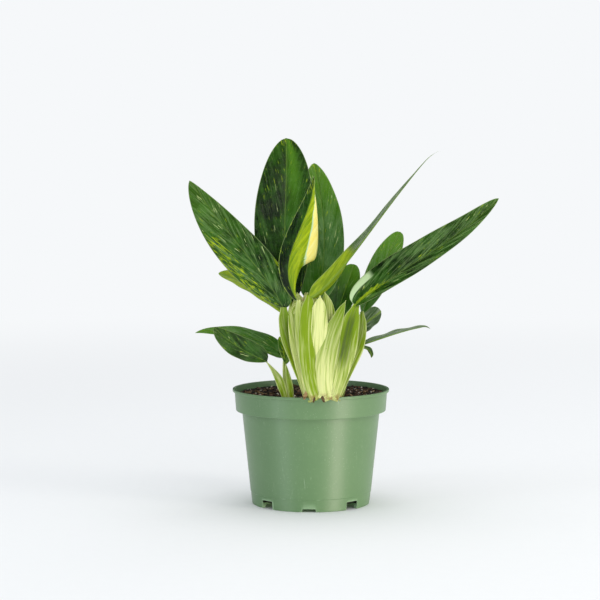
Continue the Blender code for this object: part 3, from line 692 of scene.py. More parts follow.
def sheath_surface():
    """Streaked lime and cream stalk tissue, pale at the foot and along the edges."""
    shade = Shade("sheath_surface", 0.25)
    shade.shader.inputs["Subsurface Weight"].default_value = 0.08
    shade.shader.inputs["Subsurface Scale"].default_value = 0.003
    shade.shader.inputs["Subsurface Radius"].default_value = (0.7, 1.0, 0.3)
    _, s, _ = shade.split(shade.attribute("leaf_uv"))
    out, inset, _ = shade.split(shade.attribute("leaf_place"))
    seed, foot, top = shade.split(shade.attribute("leaf_look"))
    green, stain, front = shade.split(shade.attribute("leaf_zones"))
    place = shade.place()
    shift = shade.times(seed, 40.0)
    wide = shade.join(shade.times(out, 0.42), shade.times(s, 1.6), shift)
    fine = shade.join(shade.times(out, 2.2), shade.times(s, 2.4), shift)
    bands = shade.noise(wide, 1.0, 3.0, 0.6, 0.2)
    lines = shade.noise(fine, 1.0, 3.0, 0.6)
    rise = shade.fade(s, 0.0, 1.0)
    pale = shade.plus(shade.times(foot, shade.math("SUBTRACT", 1.0, rise)),
                      shade.times(top, rise))
    streaked = shade.plus(pale, shade.scaled(bands, 3.4, -1.75))
    streaked = shade.plus(streaked, shade.scaled(lines, 0.9, -0.45),
                          clamp=True)
    shade.colour = shade.mix(streaked, STALK_LIME, STALK_CREAM)
    dark = shade.times(green, shade.fade(shade.plus(rise, bands), 0.55, 1.35))
    shade.paint(dark, STALK_GREEN)
    # Painted shade down the groove of the stalk's front.
    groove = shade.times(front, shade.fade(bands, 0.25, 0.6))
    shade.paint(groove, GROOVE_PAINTED_SHADE)
    white = shade.times(shade.fade(lines, 0.60, 0.74), 0.25)
    shade.paint(white, LINE_WHITE)
    edge = shade.fade(inset, 0.25, 0.8, 0.5, 0.0)
    shade.paint(edge, STALK_MARGIN)
    blots = shade.times(stain, shade.fade(shade.noise(place, 260.0, 4.0, 0.65),
                                                     0.42, 0.62))
    shade.paint(blots, BLOT_BROWN)
    freckle = shade.fade(shade.cells(place, 210.0), 0.06, 0.12, 0.55, 0.0)
    freckle = shade.times(freckle, shade.fade(shade.noise(place, 45.0, 1.0), 0.52, 0.6))
    shade.paint(freckle, FRECKLE_BROWN)
    shade.bump(lines, 0.00025)
    shade.bump(shade.noise(place, 900.0, 2.0), 0.00003)
    return shade.finish(shade.plus(0.30, shade.times(bands, 0.2)))


def pot_plastic():
    """Satin green moulded plastic, mottled, with pale flecks and rubbed edges."""
    shade = Shade("pot_plastic_fine", 0.5)
    place = shade.place()
    x, y, z = shade.split(place)
    cloud = shade.noise(place, 22.0, 4.0, 0.6)
    mottle = shade.noise(place, 240.0, 3.0, 0.6)
    shade.colour = shade.mix(cloud, POT_DEEP, POT_GREEN)
    shade.paint(shade.times(shade.fade(mottle, 0.5, 0.8), 0.35), POT_MOTTLE)
    specks = shade.fade(shade.cells(place, 430.0), 0.10, 0.24, 0.25, 0.0)
    specks = shade.times(specks, shade.fade(shade.noise(place, 75.0, 3.0, 0.7), 0.50, 0.62))
    shade.paint(specks, POT_SPECK)
    dust = shade.join(x, y, shade.times(z, 0.12))
    scuffs = shade.fade(shade.noise(dust, 420.0, 3.0, 0.7), 0.63, 0.78, 0.0, 0.35)
    shade.paint(scuffs, POT_SCUFF)
    worn = shade.add("ShaderNodeNewGeometry", {}).outputs["Pointiness"]
    rubbed = shade.fade(worn, 0.515, 0.56, 0.0, 0.55)
    shade.paint(rubbed, POT_EDGE)
    shade.bump(shade.noise(place, 1500.0, 2.0), 0.00003)
    shade.bump(cloud, 0.0004)
    return shade.finish(shade.scaled(mottle, 0.14, 0.31))


def grainy(name, dark, light, rough, scale, depth):
    """Rough, broken matter such as peat, bark, perlite or cork-like root skin."""
    shade = Shade(name, 0.3)
    place = shade.place()
    tone, _, _ = shade.split(shade.attribute("leaf_look"))
    coarse = shade.noise(place, scale, 4.0, 0.65)
    grain = shade.noise(place, scale * 5.0, 4.0, 0.7)
    share = shade.plus(shade.times(shade.fade(grain, 0.35, 0.7), 0.55),
                       shade.times(tone, 0.6), clamp=True)
    shade.colour = shade.mix(share, dark, light)
    shadow = shade.fade(coarse, 0.35, 0.55, 0.65, 0.0)
    shade.paint(shadow, tuple(c * SHADOW_SHARE for c in dark))
    shade.bump(grain, depth)
    shade.bump(coarse, depth * 3.0)
    return shade.finish(shade.plus(rough, shade.times(grain, 0.12)))


def make_materials():
    """Every material of the plant, its pot and its mix."""
    materials = {name: grainy(name, *facts) for name, facts in GRAINS.items()}
    materials |= {
        "upper": leaf_upper(),
        "under": leaf_under(),
        "sheath": sheath_surface(),
        "pot": pot_plastic(),
    }
    return materials


# ---- mesh helpers --------------------------------------------------------------

def new_object(name, vertices, faces, materials, smooth=True):
    """A mesh object from points in millimetres."""
    mesh = bpy.data.meshes.new(name)
    mesh.from_pydata([tuple(c * MM for c in v) for v in vertices], [], faces)
    mesh.update()
    for material in materials:
        mesh.materials.append(material)
    if smooth:
        mesh.shade_smooth()
    return add_thing(name, mesh)


def set_values(mesh, name, values):
    """One vector on each vertex, for the materials to read."""
    attribute = mesh.attributes.new(name, "FLOAT_VECTOR", "POINT")
    attribute.data.foreach_set("vector", np.asarray(values, dtype=np.float32).ravel())


def set_looks(thing, uv, places, looks, zones):
    """All that the leaf and stalk materials read."""
    named = {"leaf_uv": uv, "leaf_place": places, "leaf_look": looks, "leaf_zones": zones}
    for name, values in named.items():
        set_values(thing.data, name, values)


def settle(thing, slot, *nodes):
    """Make a piece part of the object, in place of the CAD nodes it stands for."""
    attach(thing, "root")
    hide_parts(*nodes)


def soft_step(value, low, high):
    """0 below low, 1 above high, and smooth between them."""
    t = min(max((value - low) / (high - low), 0.0), 1.0)
    return t * t * (3 - 2 * t)


def band(value, low, high, soft):
    """1 between low and high, 0 outside, with soft ends."""
    rise = soft_step(value, low - soft, low + soft)
    return rise * (1 - soft_step(value, high - soft, high + soft))


# ---- curves of the plant -------------------------------------------------------

def through(points, s):
    """The cubic curve through four evenly spaced values, and its slope, at s."""
    knots = (0.0, 1 / 3, 2 / 3, 1.0)
    value = points[0] * 0.0
    slope = points[0] * 0.0
    for i, point in enumerate(points):
        others = [knots[j] for j in range(4) if j != i]
        scale = math.prod(knots[i] - k for k in others)
        a, b, c = (s - k for k in others)
        value = value + point * (a * b * c / scale)
        slope = slope + point * ((a * b + b * c + a * c) / scale)
    return value, slope


def between(vectors, s):
    """The direction at s, turning evenly from each vector to the next."""
    s = min(max(s, 0.0), 1.0)
    stretch = min(int(s * (len(vectors) - 1)), len(vectors) - 2)
    return vectors[stretch].lerp(vectors[stretch + 1], s * (len(vectors) - 1) - stretch)


def half_width(half, s):
    """Width of a half blade at s, running out to a fine point at the tip."""
    s = min(max(s, 0.0), 1.0)
    p, q = half.base_power, half.tip_power
    widest = (p / (p + q)) ** p * (q / (p + q)) ** q
    least = BLADE_MIN_HALF + (TIP_MIN_HALF - BLADE_MIN_HALF) * soft_step(s, 0.9, 1.0)
    return max(least, half.width * s ** p * (1 - s) ** q / widest)


def across(half, width, u):
    """Place on a half blade at u of its width: out along the side, up along the face."""
    start = math.radians(half.fold)
    turn = math.radians(half.curl)
    if abs(turn) < 0.01:
        return width * u * math.cos(start), width * u * math.sin(start)
    end = start + turn * u
    out = (math.sin(end) - math.sin(start)) / turn
    up = (math.cos(start) - math.cos(end)) / turn
    return width * out, width * up


# ---- leaf blades ---------------------------------------------------------------

def blade_zones(name, s, u):
    """Lime and cream shares of a place on a blade."""
    if name == "leaf_blade_new":
        right = soft_step(u, -0.01, 0.03)
        split = 0.56 + 0.2 * soft_step(s, 0.74, 0.87) + 0.02 * math.sin(21 * s)
        split += (1.04 - split) * (1 - soft_step(s, 0.28, 0.40))
        cream = soft_step(u, split - 0.025, split + 0.025) * band(s, 0.28, 0.87, 0.015)
        shadow = band(u, 0.42, 0.60, 0.04) * band(s, 0.29, 0.50, 0.05)
        shadow = max(shadow, soft_step(u, 0.52, 0.62) * band(s, 0.17, 0.34, 0.03))
        lime = max(1.5 * right * (1 - 0.4 * shadow), 0.36 * soft_step(s, 0.80, 0.93))
        lime = max(lime, 0.5 * soft_step(-u, 0.84, 0.97))
        return lime, cream
    if name == "leaf_blade_left_lower":
        # All lime, partly a painted glow of light through the leaf.
        return 1.5, 0.0
    if name == "leaf_blade_left":
        lime = 0.36 * soft_step(-u, 0.25, 0.6) * band(s, 0.10, 0.72, 0.10)
        streak = 0.6 * soft_step(u, 0.80, 0.93) * band(s, 0.05, 0.40, 0.05)
        return max(lime, streak), 0.0
    if name == "leaf_blade_right_big":
        mint = soft_step(-u, 0.55, 0.68) * (1 - soft_step(s, 0.17, 0.27))
        lime = (1 - soft_step(abs(u), 0.10, 0.22)) * (1 - soft_step(s, 0.12, 0.34))
        return lime, 0.45 * mint
    if name == "leaf_blade_right_thin":
        return 1.5 * (1 - soft_step(s, 0.30, 0.46)), 0.0
    if name == "leaf_blade_low_left_young":
        return 0.35, 0.0
    if name in ("leaf_blade_tall", "leaf_blade_back_right"):
        return 0.30 * soft_step(s, 0.90, 1.0), 0.0
    return 0.0, 0.0


def blade_sheet(blade, seed):
    """Rows of places on the blade's middle sheet, with s, u, and the half width there."""
    midrib = [Vector(p) for p in blade.midrib]
    faces = [Vector(f) for f in blade.faces]
    steps = [(j / BLADE_COLUMNS) for j in range(-BLADE_COLUMNS, BLADE_COLUMNS + 1)]
    stations = [math.copysign(abs(t) ** COLUMN_POWER, t) for t in steps]
    points = np.zeros((BLADE_ROWS + 1, len(stations), 3))
    facts = np.zeros((BLADE_ROWS + 1, len(stations), 3))
    for i in range(BLADE_ROWS + 1):
        s = BLADE_START + (1 - BLADE_START) * i / BLADE_ROWS
        place, slope = through(midrib, s)
        past = max(0.0, (s - DROOP_START) / (1 - DROOP_START))
        place.z -= DROOPS.get(blade.name, 0.0) * past ** 2
        along = slope.normalized()
        side = along.cross(between(faces, s)).normalized()
        face = side.cross(along)
        for j, u in enumerate(stations):
            half = blade.right if u > 0 else blade.left
            width = half_width(half, s)
            if blade.name == "leaf_blade_new" and u > 0:
                waist, low, high = NEW_LEAF_WAIST
                width *= waist + (1 - waist) * soft_step(s, low, high)
            out, up = across(half, width, abs(u))
            phase = MARGIN_PHASE if u > 0 else 0.0
            sway = math.sin(2 * math.pi * (MARGIN_WAVES * s + seed) + phase)
            up += MARGIN_WAVE * sway * u * u * min(1.0, width / FULL_WAVE_WIDTH)
            points[i, j] = place + side * math.copysign(out, u) + face * up
            facts[i, j] = (s, u, width)
    return points, facts


def surface_normals(points):
    """Normals of a grid of points, on the side that the upper face looks to."""
    across_step = np.gradient(points, axis=1)
    along_step = np.gradient(points, axis=0)
    normals = np.cross(across_step, along_step)
    return normals / np.maximum(np.linalg.norm(normals, axis=2, keepdims=True), 1e-9)


def make_blade(blade, seed, materials):
    """A leaf blade of its real thickness, grooved above and ribbed below."""
    points, facts = blade_sheet(blade, seed)
    normals = surface_normals(points)
    s, u, width = facts[..., 0], facts[..., 1], facts[..., 2]
    out = np.abs(u) * width
    rows, columns = s.shape
    taper = np.minimum(1.0, width / FULL_RELIEF_WIDTH)
    thick = (BLADE_EDGE_THICK + (BLADE_THICK - BLADE_EDGE_THICK) * (1 - np.abs(u) ** 3)) * taper
    vein = np.abs(u) - VEIN_SLANT * s
    relief = VEIN_RELIEF * np.cos(2 * math.pi * VEIN_COUNT * vein)
    relief = relief * np.abs(u) * (1 - np.abs(u) ** 4)
    groove = MIDRIB_GROOVE[0] * np.exp(-(out / MIDRIB_GROOVE[1]) ** 2) * taper
    ridge_height = MIDRIB_RIDGE[0] + (MIDRIB_RIDGE[1] - MIDRIB_RIDGE[0]) * np.clip(s, 0, 1)
    ridge = ridge_height * np.exp(-(out / MIDRIB_RIDGE[2]) ** 2) * taper
    top = points + normals * (thick / 2 + relief * taper - groove)[..., None]
    under = points - normals * (thick / 2 - relief * taper + ridge)[..., None]

    vertices = np.concatenate([top.reshape(-1, 3), under.reshape(-1, 3)])
    count = rows * columns
    faces = []
    for i in range(rows - 1):
        for j in range(columns - 1):
            a = i * columns + j
            b = a + columns
            faces.append((a, a + 1, b + 1, b))
            faces.append((count + a, count + b, count + b + 1, count + a + 1))
    border = [j for j in range(columns)]
    border += [i * columns + columns - 1 for i in range(1, rows)]
    border += [(rows - 1) * columns + j for j in range(columns - 2, -1, -1)]
    border += [i * columns for i in range(rows - 2, 0, -1)]
    for a, b in zip(border, border[1:] + border[:1]):
        faces.append((a, count + a, count + b, b))
    thing = new_object(blade.name + "_fine", vertices, faces,
                       [materials["upper"], materials["under"]])
    mesh = thing.data
    grid_faces = 2 * (rows - 1) * (columns - 1)
    index = np.zeros(len(faces), dtype=np.int32)
    index[1:grid_faces:2] = 1
    mesh.polygons.foreach_set("material_index", index)

    look = LOOKS[blade.name]
    zones = [(*blade_zones(blade.name, a, b), look.flecks) for a, b in zip(s.ravel(), u.ravel())]
    uv = [(b, a, 0) for a, b in zip(s.ravel(), u.ravel())]
    length = (Vector(blade.midrib[-1]) - Vector(blade.midrib[0])).length
    places = [(o, w - o, a * length) for o, w, a in zip(out.ravel(), width.ravel(), s.ravel())]
    # Lightness, with painted sheen on the right half beside the midrib.
    sheen = SHEENS.get(blade.name, 0.0)
    lights = [look.light + sheen * band(b, *SHEEN_BAND) for b in u.ravel()]
    looks = [(seed, look.streaks, light) for light in lights]
    set_looks(thing, uv * 2, places * 2, looks * 2, zones * 2)
    # Leaves whose lime is partly a painted glow of light through them.
    young_and_glow = blade.name in ("leaf_blade_new", "leaf_blade_left_lower")
    settle(thing, "leaf_young" if young_and_glow else "leaf_dark", blade.name)
    return thing


# ---- stalks, crown and roots ---------------------------------------------------

def ring_faces(rings, around):
    """Faces of a closed solid through rings of points, with fans of triangles at its ends."""
    faces = []
    for i in range(rings - 1):
        for k in range(around):
            a = i * around + k
            b = i * around + (k + 1) % around
            faces.append((a, b, b + around, a + around))
    low, high = rings * around, rings * around + 1
    for k in range(around):
        n = (k + 1) % around
        faces.append((low, n, k))
        faces.append((high, (rings - 1) * around + k, (rings - 1) * around + n))
    return faces


def with_ends(rings):
    """All points of the rings, then the middles of the first and the last."""
    points = [p for ring in rings for p in ring]
    for ring in (rings[0], rings[-1]):
        points.append(sum(ring, Vector()) / len(ring))
    return points


def lofted(name, rings, material):
    """A closed solid through rings of points, from its foot to its top."""
    return new_object(name, with_ends(rings), ring_faces(len(rings), len(rings[0])), [material])


def make_stalk(stalk, seed, materials):
    """A ribbed crescent stalk with thin wavy edges."""
    tint = TINTS.get(stalk.name, PLAIN_TINT)
    middle = [Vector(p) for p in stalk.middle]
    widths = [float(w) for w in stalk.widths]
    stations = [-1 + 2 * j / STALK_COLUMNS for j in range(STALK_COLUMNS + 1)]
    rings, uv, places = [], [], []
    start, stop = STALK_REACH
    for i in range(STALK_ROWS + 1):
        s = start + (stop - start) * i / STALK_ROWS
        place, slope = through(middle, s)
        width = max(through(widths, s)[0], STALK_MIN_WIDTH)
        width *= tint.spread + (STALK_TOP_SPREAD - tint.spread) * soft_step(s, *STALK_SPREAD_END)
        if stalk.name.startswith("sheath"):
            width *= max(SHEATH_TIP, math.sqrt(1 - soft_step(s, *SHEATH_ROUND) ** 3))
        else:
            low, high, share = STALK_NARROWS
            width *= 1 - share * soft_step(s, low, high)
        along = slope.normalized()
        side = along.cross(Vector(stalk.face)).normalized()
        face = side.cross(along)
        half = width / 2
        edge = min(STALK_EDGE, stalk.thickness / 2)
        swing, waves = STALK_RIPPLE
        ripple = swing * width * math.sin(2 * math.pi * (waves * s + seed))
        ring = []
        for front in (1, -1):
            for u in (stations if front > 0 else reversed(stations)):
                thick = edge + (stalk.thickness / 2 - edge) * (1 - u * u)
                ribs = STALK_RELIEF * math.cos(math.pi * STALK_RIBS * (u + RIB_LEAN * s + seed))
                thick += ribs * (1 - u ** 4)
                up = stalk.cup * width * u * u + front * thick + ripple * abs(u) ** 3
                ring.append(place + side * (half * u) + face * up)
                uv.append((u, s, 0))
                places.append((half * u, half * (1 - abs(u)), 0))
        rings.append(ring)
    thing = lofted(stalk.name + "_fine", rings, materials["sheath"])
    uv += [(0, start, 0), (0, stop, 0)]
    places += [(0, 1, 0), (0, 1, 0)]
    # Green tops, brown stains at the foot and painted shade down the front groove.
    stains_and_groove_shade = [(tint.green, 0.8 * (1 - soft_step(s, -0.05, 0.06)),
               tint.groove * band(u, -0.45, 0.45, 0.2) * band(s, 0.35, 0.95, 0.12))
              for u, s, _ in uv]
    set_looks(thing, uv, places, [(seed, tint.foot, tint.top)] * len(uv), stains_and_groove_shade)
    settle(thing, "sheath_pale" if stalk.name == "sheath_cream" else "sheath", stalk.name)
    return thing


def smooth_rings(rings, count):
    """More rings, on a smooth curve through the given ones."""
    table = np.array(rings, dtype=float)
    knots = np.arange(len(rings))
    fine = np.linspace(0, len(rings) - 1, count)
    result = np.stack([np.interp(fine, knots, column) for column in table.T], axis=1)
    blurred = result.copy()
    for _ in range(BASE_BLUR):
        blurred[1:-1] = (blurred[:-2] + 2 * blurred[1:-1] + blurred[2:]) / 4
    return blurred


def make_base(name, rings, creases, clear_of_pot, seed, materials):
    """A swollen stem base, creased between the stalks that rise from it."""
    fine = smooth_rings(rings, RINGS_PER_STEP * len(rings))
    loops, uv, places, zones = [], [], [], []
    top, bottom = fine[-1][4], fine[0][4]
    hem, waves, hem_low, hem_high = CROWN_HEM
    for x, y, half_x, half_y, z in fine:
        loop = []
        for k in range(BASE_POINTS):
            turn = 2 * math.pi * k / BASE_POINTS
            fold = abs(math.sin(creases * turn / 2 + 0.6 * math.sin(turn * 2 + seed * 9)))
            rise = soft_step(z, POT_HEIGHT + 0.6, POT_HEIGHT + 5)
            grow = BASE_SHRINK + CREASE_DEPTH * fold ** 0.6 * rise
            spot = Vector((math.cos(turn) * 3, math.sin(turn) * 3, z * 0.25))
            grow += BASE_GRAIN * noise.noise(spot)
            place = Vector((x + half_x * grow * math.cos(turn),
                            y + half_y * grow * math.sin(turn), z))
            reach = math.hypot(place.x, place.y)
            limit = BAND_TOP_RADIUS - WALL - RIM_GAP
            if clear_of_pot and z < POT_HEIGHT + 0.2 and reach > limit:
                place.x *= limit / reach
                place.y *= limit / reach
            loop.append(place)
            place.z += (hem * math.sin(turn * waves + 1) - 2) * soft_step(z, hem_low, hem_high)
            share = (z - bottom) / (top - bottom)
            uv.append((math.cos(turn), share * 0.6, 0))
            places.append((turn * half_x * 0.6, 1.0 + fold * 2, 0))
            zones.append((0.0, 0.95 * (1 - soft_step(z, POT_HEIGHT, POT_HEIGHT + 2.6)), 0))
        loops.append(loop)
    thing = lofted(name + "_fine", loops, materials["sheath"])
    uv += [(0, 0, 0)] * 2
    places += [(0, 2, 0)] * 2
    zones += [(0, 1, 0)] * 2
    set_looks(thing, uv, places, [(seed, *CROWN_PALENESS)] * len(uv), zones)
    settle(thing, "sheath", name)
    return thing


def make_root(name, points, radii, pale, seed, materials):
    """A short knobbly root stub."""
    places = [Vector(p) for p in points]
    rings = []
    for i in range(ROOT_ROWS + 1):
        t = i / ROOT_ROWS
        a, b, c = places
        place = a * ((1 - t) * (1 - 2 * t)) + b * (4 * t * (1 - t)) + c * (t * (2 * t - 1))
        along = (a * (4 * t - 3) + b * (4 - 8 * t) + c * (4 * t - 1)).normalized()
        radius = float(np.interp(t, (0, 0.5, 1), radii))
        radius *= 1 - ROOT_TAPER * soft_step(t, ROOT_TIP, 1.0)
        side = along.cross(Vector((0, 1, 0))).normalized()
        up = side.cross(along)
        ring = []
        for k in range(ROOT_SIDES):
            turn = 2 * math.pi * k / ROOT_SIDES
            way = side * math.cos(turn) + up * math.sin(turn)
            knob = 1 + ROOT_KNOBS * noise.noise(way * 1.2 + place * 0.9 + Vector((seed * 50, 0, 0)))
            ring.append(place + way * (radius * knob))
        rings.append(ring)
    thing = lofted(name + "_fine", rings, materials["root"])
    tones = [(pale * (1 - 0.6 * (v.index // ROOT_SIDES) / ROOT_ROWS), seed, 0)
             for v in thing.data.vertices]
    set_values(thing.data, "leaf_look", tones)
    settle(thing, "root", name)
    return thing


# ---- pot -----------------------------------------------------------------------

def wall_radius(z):
    """Outer radius of the tapered wall at height z."""
    return BASE_RADIUS + (WALL_TOP_RADIUS - BASE_RADIUS) * z / (BAND_FOOT - WALL_END)


def pot_profile():
    """Corners of the pot's half section, from the floor's middle up and round to the foot."""
    lip_foot = POT_HEIGHT - LIP_HEIGHT
    return [
        (0.0, FLOOR_TOP),
        (wall_radius(FLOOR_TOP) - WALL, FLOOR_TOP),
        (WALL_TOP_RADIUS - WALL, BAND_FOOT - SHELF_DROP),
        (BAND_FOOT_RADIUS - WALL - SHELF_INSET, BAND_FOOT + SHELF_RISE),
        (BAND_TOP_RADIUS - WALL, lip_foot - LIP_INNER_DROP),
        (RIM_RADIUS - RIM_FLAT, POT_HEIGHT),
        (RIM_RADIUS, POT_HEIGHT),
        (RIM_RADIUS, lip_foot),
        (BAND_TOP_RADIUS, lip_foot - LIP_DROP),
        (BAND_FOOT_RADIUS, BAND_FOOT),
        (WALL_TOP_RADIUS, BAND_FOOT - CREASE_DROP),
        (wall_radius(STEP_HEIGHT), STEP_HEIGHT),
        (wall_radius(STEP_HEIGHT) - STEP_DEPTH, STEP_HEIGHT - STEP_DROP),
        (wall_radius(0.0) - STEP_DEPTH, 0.0),
        (FOOT_INNER_RADIUS, 0.0),
        (FOOT_INNER_RADIUS - FOOT_SLOPE, FLOOR_UNDERSIDE),
        (PAD_RADIUS + PAD_SLOPE, FLOOR_UNDERSIDE),
        (PAD_RADIUS, 0.0),
        (0.0, 0.0),
    ]


def rounded(corners, radius):
    """The same outline with its inner corners rounded off."""
    points = [Vector(corners[0])]
    for before, corner, after in zip(corners, corners[1:], corners[2:]):
        before, corner, after = Vector(before), Vector(corner), Vector(after)
        reach = min(radius, (corner - before).length * 0.45, (after - corner).length * 0.45)
        enter = corner + (before - corner).normalized() * reach
        leave = corner + (after - corner).normalized() * reach
        for k in range(ROUNDING_STEPS + 1):
            t = k / ROUNDING_STEPS
            points.append(enter.lerp(corner, t).lerp(corner.lerp(leave, t), t))
    points.append(Vector(corners[-1]))
    return points


def circle(radius, z, count):
    """A ring of points about the pot's axis, at height z or on the surface z(x, y)."""
    ring = []
    for k in range(count):
        turn = 2 * math.pi * k / count
        x, y = radius * math.cos(turn), radius * math.sin(turn)
        ring.append(Vector((x, y, z(x, y) if callable(z) else z)))
    return ring


def notch_cutter(width, height, turn):
    """A round-cornered block that cuts one drain notch through the foot."""
    below = 1.0
    bm = bmesh.new()
    bmesh.ops.create_cube(bm, size=1.0)
    bmesh.ops.scale(bm, vec=(width, NOTCH_DEPTH, height + below), verts=bm.verts)
    upright = [e for e in bm.edges if all(v.co.z > 0 for v in e.verts)
               and abs(e.verts[0].co.y - e.verts[1].co.y) > 1]
    bmesh.ops.bevel(bm, geom=upright, offset=NOTCH_CORNER, segments=4, affect="EDGES", profile=0.5)
    bmesh.ops.scale(bm, vec=(MM, MM, MM), verts=bm.verts)
    mesh = bpy.data.meshes.new("notch_cutter")
    bm.to_mesh(mesh)
    bm.free()
    cutter = add_thing("notch_cutter", mesh)
    cutter.location = Vector((math.sin(turn) * NOTCH_MIDDLE, -math.cos(turn) * NOTCH_MIDDLE,
                              (height - below) / 2)) * MM
    cutter.rotation_euler = (0, 0, turn)
    return cutter


def make_pot(materials):
    """The pot: turned, cut by its drain notches, with small bevels round the cuts."""
    outline = reversed(rounded(pot_profile(), ROUNDING)[1:-1])
    rings = [circle(p.x, p.y, POT_SEGMENTS) for p in outline]
    pot = lofted("nursery_pot_fine", rings, materials["pot"])
    cutters = []
    for i in range(NOTCH_COUNT):
        width, height = TALL_NOTCH if i % 2 else LOW_NOTCH
        turn = math.radians(360 / NOTCH_COUNT * i + NOTCH_TURN)
        cutters.append(notch_cutter(width, height, turn))
        boolean = pot.modifiers.new("notch", "BOOLEAN")
        boolean.operation = "DIFFERENCE"
        boolean.solver = "EXACT"
        boolean.object = cutters[-1]
    graph = bpy.context.evaluated_depsgraph_get()
    mesh = bpy.data.meshes.new_from_object(pot.evaluated_get(graph))
    pot.modifiers.clear()
    pot.data = mesh
    for cutter in cutters:
        bpy.data.objects.remove(cutter)
    mesh.shade_smooth()
    mesh.set_sharp_from_angle(angle=math.radians(SHARP_ANGLE))
    settle(pot, "pot_plastic", "nursery_pot")
    return pot


# ---- potting mix ---------------------------------------------------------------

def loose_height(x, y):
    """The loose surface: low at the back left, heaped to the right, with clods and crumbs."""
    right, back = HEAP_LEAN
    heap = max(0.0, (x / BAND_TOP_RADIUS) * right - (y / BAND_TOP_RADIUS) * back)
    first, second, third, fourth = SOIL_WAVES
    bumps = (math.sin(x * first + 1.0) * math.cos(y * second)
             + math.sin(x * third - y * fourth + 2.0)) / 2
    grain = sum(share * noise.noise(Vector((x * pitch, y * pitch, shift)))
                for pitch, shift, share in CLODS)
    return SOIL_LEVEL + SOIL_HEAP * heap + SOIL_BUMP * bumps + SOIL_GRAIN * grain - SOIL_SINK


def make_soil(materials):
    """The whole body of mix, with a rough loose top."""
    floor_radius = wall_radius(FLOOR_TOP) - WALL
    side = [
        (floor_radius - SOIL_CORNER, FLOOR_TOP + SOIL_GAP),
        (floor_radius - SOIL_SLACK, FLOOR_TOP + SOIL_RISE),
        (WALL_TOP_RADIUS - WALL - SOIL_SLACK, BAND_FOOT - SOIL_NECK),
        (SOIL_RADIUS - SOIL_SHOULDER, BAND_FOOT + SOIL_SHELF),
        (SOIL_RADIUS, BAND_FOOT + 2 * SOIL_SHELF),
    ]
    rings = [circle(radius, z, SOIL_SEGMENTS) for radius, z in side]
    for i in range(SOIL_RINGS):
        radius = SOIL_RADIUS * (1 - SOIL_REACH * i / (SOIL_RINGS - 1))
        rings.append(circle(radius, loose_height, SOIL_SEGMENTS))
    thing = lofted("potting_mix_fine", rings, materials["peat"])
    set_values(thing.data, "leaf_look", [(0.3, 0, 0)] * len(thing.data.vertices))
    settle(thing, "potting_mix", "potting_mix")
    return thing


def crumb(size, flatness, dice):
    """One angular bit: a distorted ball, flattened and turned any way."""
    bm = bmesh.new()
    bmesh.ops.create_icosphere(bm, subdivisions=2, radius=0.5)
    shift = Vector((dice.uniform(0, 90), dice.uniform(0, 90), dice.uniform(0, 90)))
    wide = dice.uniform(*CRUMB_WIDTH)
    stretch = size * Vector((1.0, wide, flatness * dice.uniform(*CRUMB_DEPTH)))
    spin = Vector((dice.uniform(-0.6, 0.6), dice.uniform(-0.6, 0.6), 1)).normalized()
    turn = spin.to_track_quat("Z", "Y")
    roll = dice.uniform(0, 2 * math.pi)
    for v in bm.verts:
        jag = 1 + CRUMB_JAG * noise.noise(v.co * CRUMB_PITCH + shift)
        p = Vector((v.co.x * stretch.x, v.co.y * stretch.y, v.co.z * stretch.z)) * jag
        p = Vector((p.x * math.cos(roll) - p.y * math.sin(roll),
                    p.x * math.sin(roll) + p.y * math.cos(roll), p.z))
        v.co = turn @ p
    points = [v.co.copy() for v in bm.verts]
    faces = [tuple(v.index for v in f.verts) for f in bm.faces]
    bm.free()
    return points, faces


def near_crown(x, y):
    """True where the plant's foot stands."""
    x0, y0, half_x, half_y, _ = CROWN_RINGS[3]
    return ((x - x0) / (half_x - 2)) ** 2 + ((y - y0) / (half_y - 2)) ** 2 < 1


def make_crumbs(name, count, small, large, flatness, material, materials, dice):
    """All loose bits of one kind, as one piece lying on the mix."""
    vertices, faces, tones = [], [], []
    while count:
        radius = (SOIL_RADIUS - large * CRUMB_INSET) * math.sqrt(dice.random())
        turn = dice.uniform(0, 2 * math.pi)
        x, y = radius * math.cos(turn), radius * math.sin(turn)
        if near_crown(x, y):
            continue
        size = small + (large - small) * dice.random() ** 2
        width = FIBRE_WIDTH if material == "fibre" else 1.0
        points, bits = crumb(size, flatness, dice)
        base = Vector((x, y, loose_height(x, y) + size * flatness * 0.25))
        start = len(vertices)
        if width < 1:
            heading = Vector((math.cos(turn * 7), math.sin(turn * 7), 0))
            points = [p + heading * (p.dot(heading) * FIBRE_STRETCH) for p in points]
            cross = Vector((-heading.y, heading.x, 0))
            points = [p - cross * (p.dot(cross) * (1 - width)) for p in points]
        vertices += [base + p for p in points]
        faces += [tuple(start + i for i in face) for face in bits]
        spread, power, drop = CRUMB_TONES
        tones += [(spread * dice.random() ** power - drop, 0, 0)] * len(points)
        count -= 1
    thing = new_object(name, vertices, faces, [materials[material]], smooth=False)
    set_values(thing.data, "leaf_look", tones)
    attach(thing, "root")
    return thing


# ---- camera, light and floor ---------------------------------------------------

def make_camera():
    """The camera, level with the top of the plant and looking a little down."""
    camera = bpy.data.cameras.new("camera")
    camera.lens = LENS
    camera.sensor_width = SENSOR
    thing = add_thing("camera", camera)
    thing.location = CAMERA_PLACE
    thing.rotation_euler = (math.pi / 2 - CAMERA_DOWN, 0, 0)
    bpy.context.scene.camera = thing


def add_softbox(name, place, width, height, power, colour):
    """A rectangular area light aimed at the plant, unseen by the camera."""
    light = bpy.data.lights.new(name, "AREA")
    light.shape = "RECTANGLE"
    light.size = width
    light.size_y = height
    light.energy = power
    light.color = colour
    thing = add_thing(name, light)
    thing.location = place
    thing.rotation_euler = (Vector(LIGHT_AIM) - Vector(place)).to_track_quat("-Z", "Y").to_euler()
    thing.visible_camera = False
    return thing


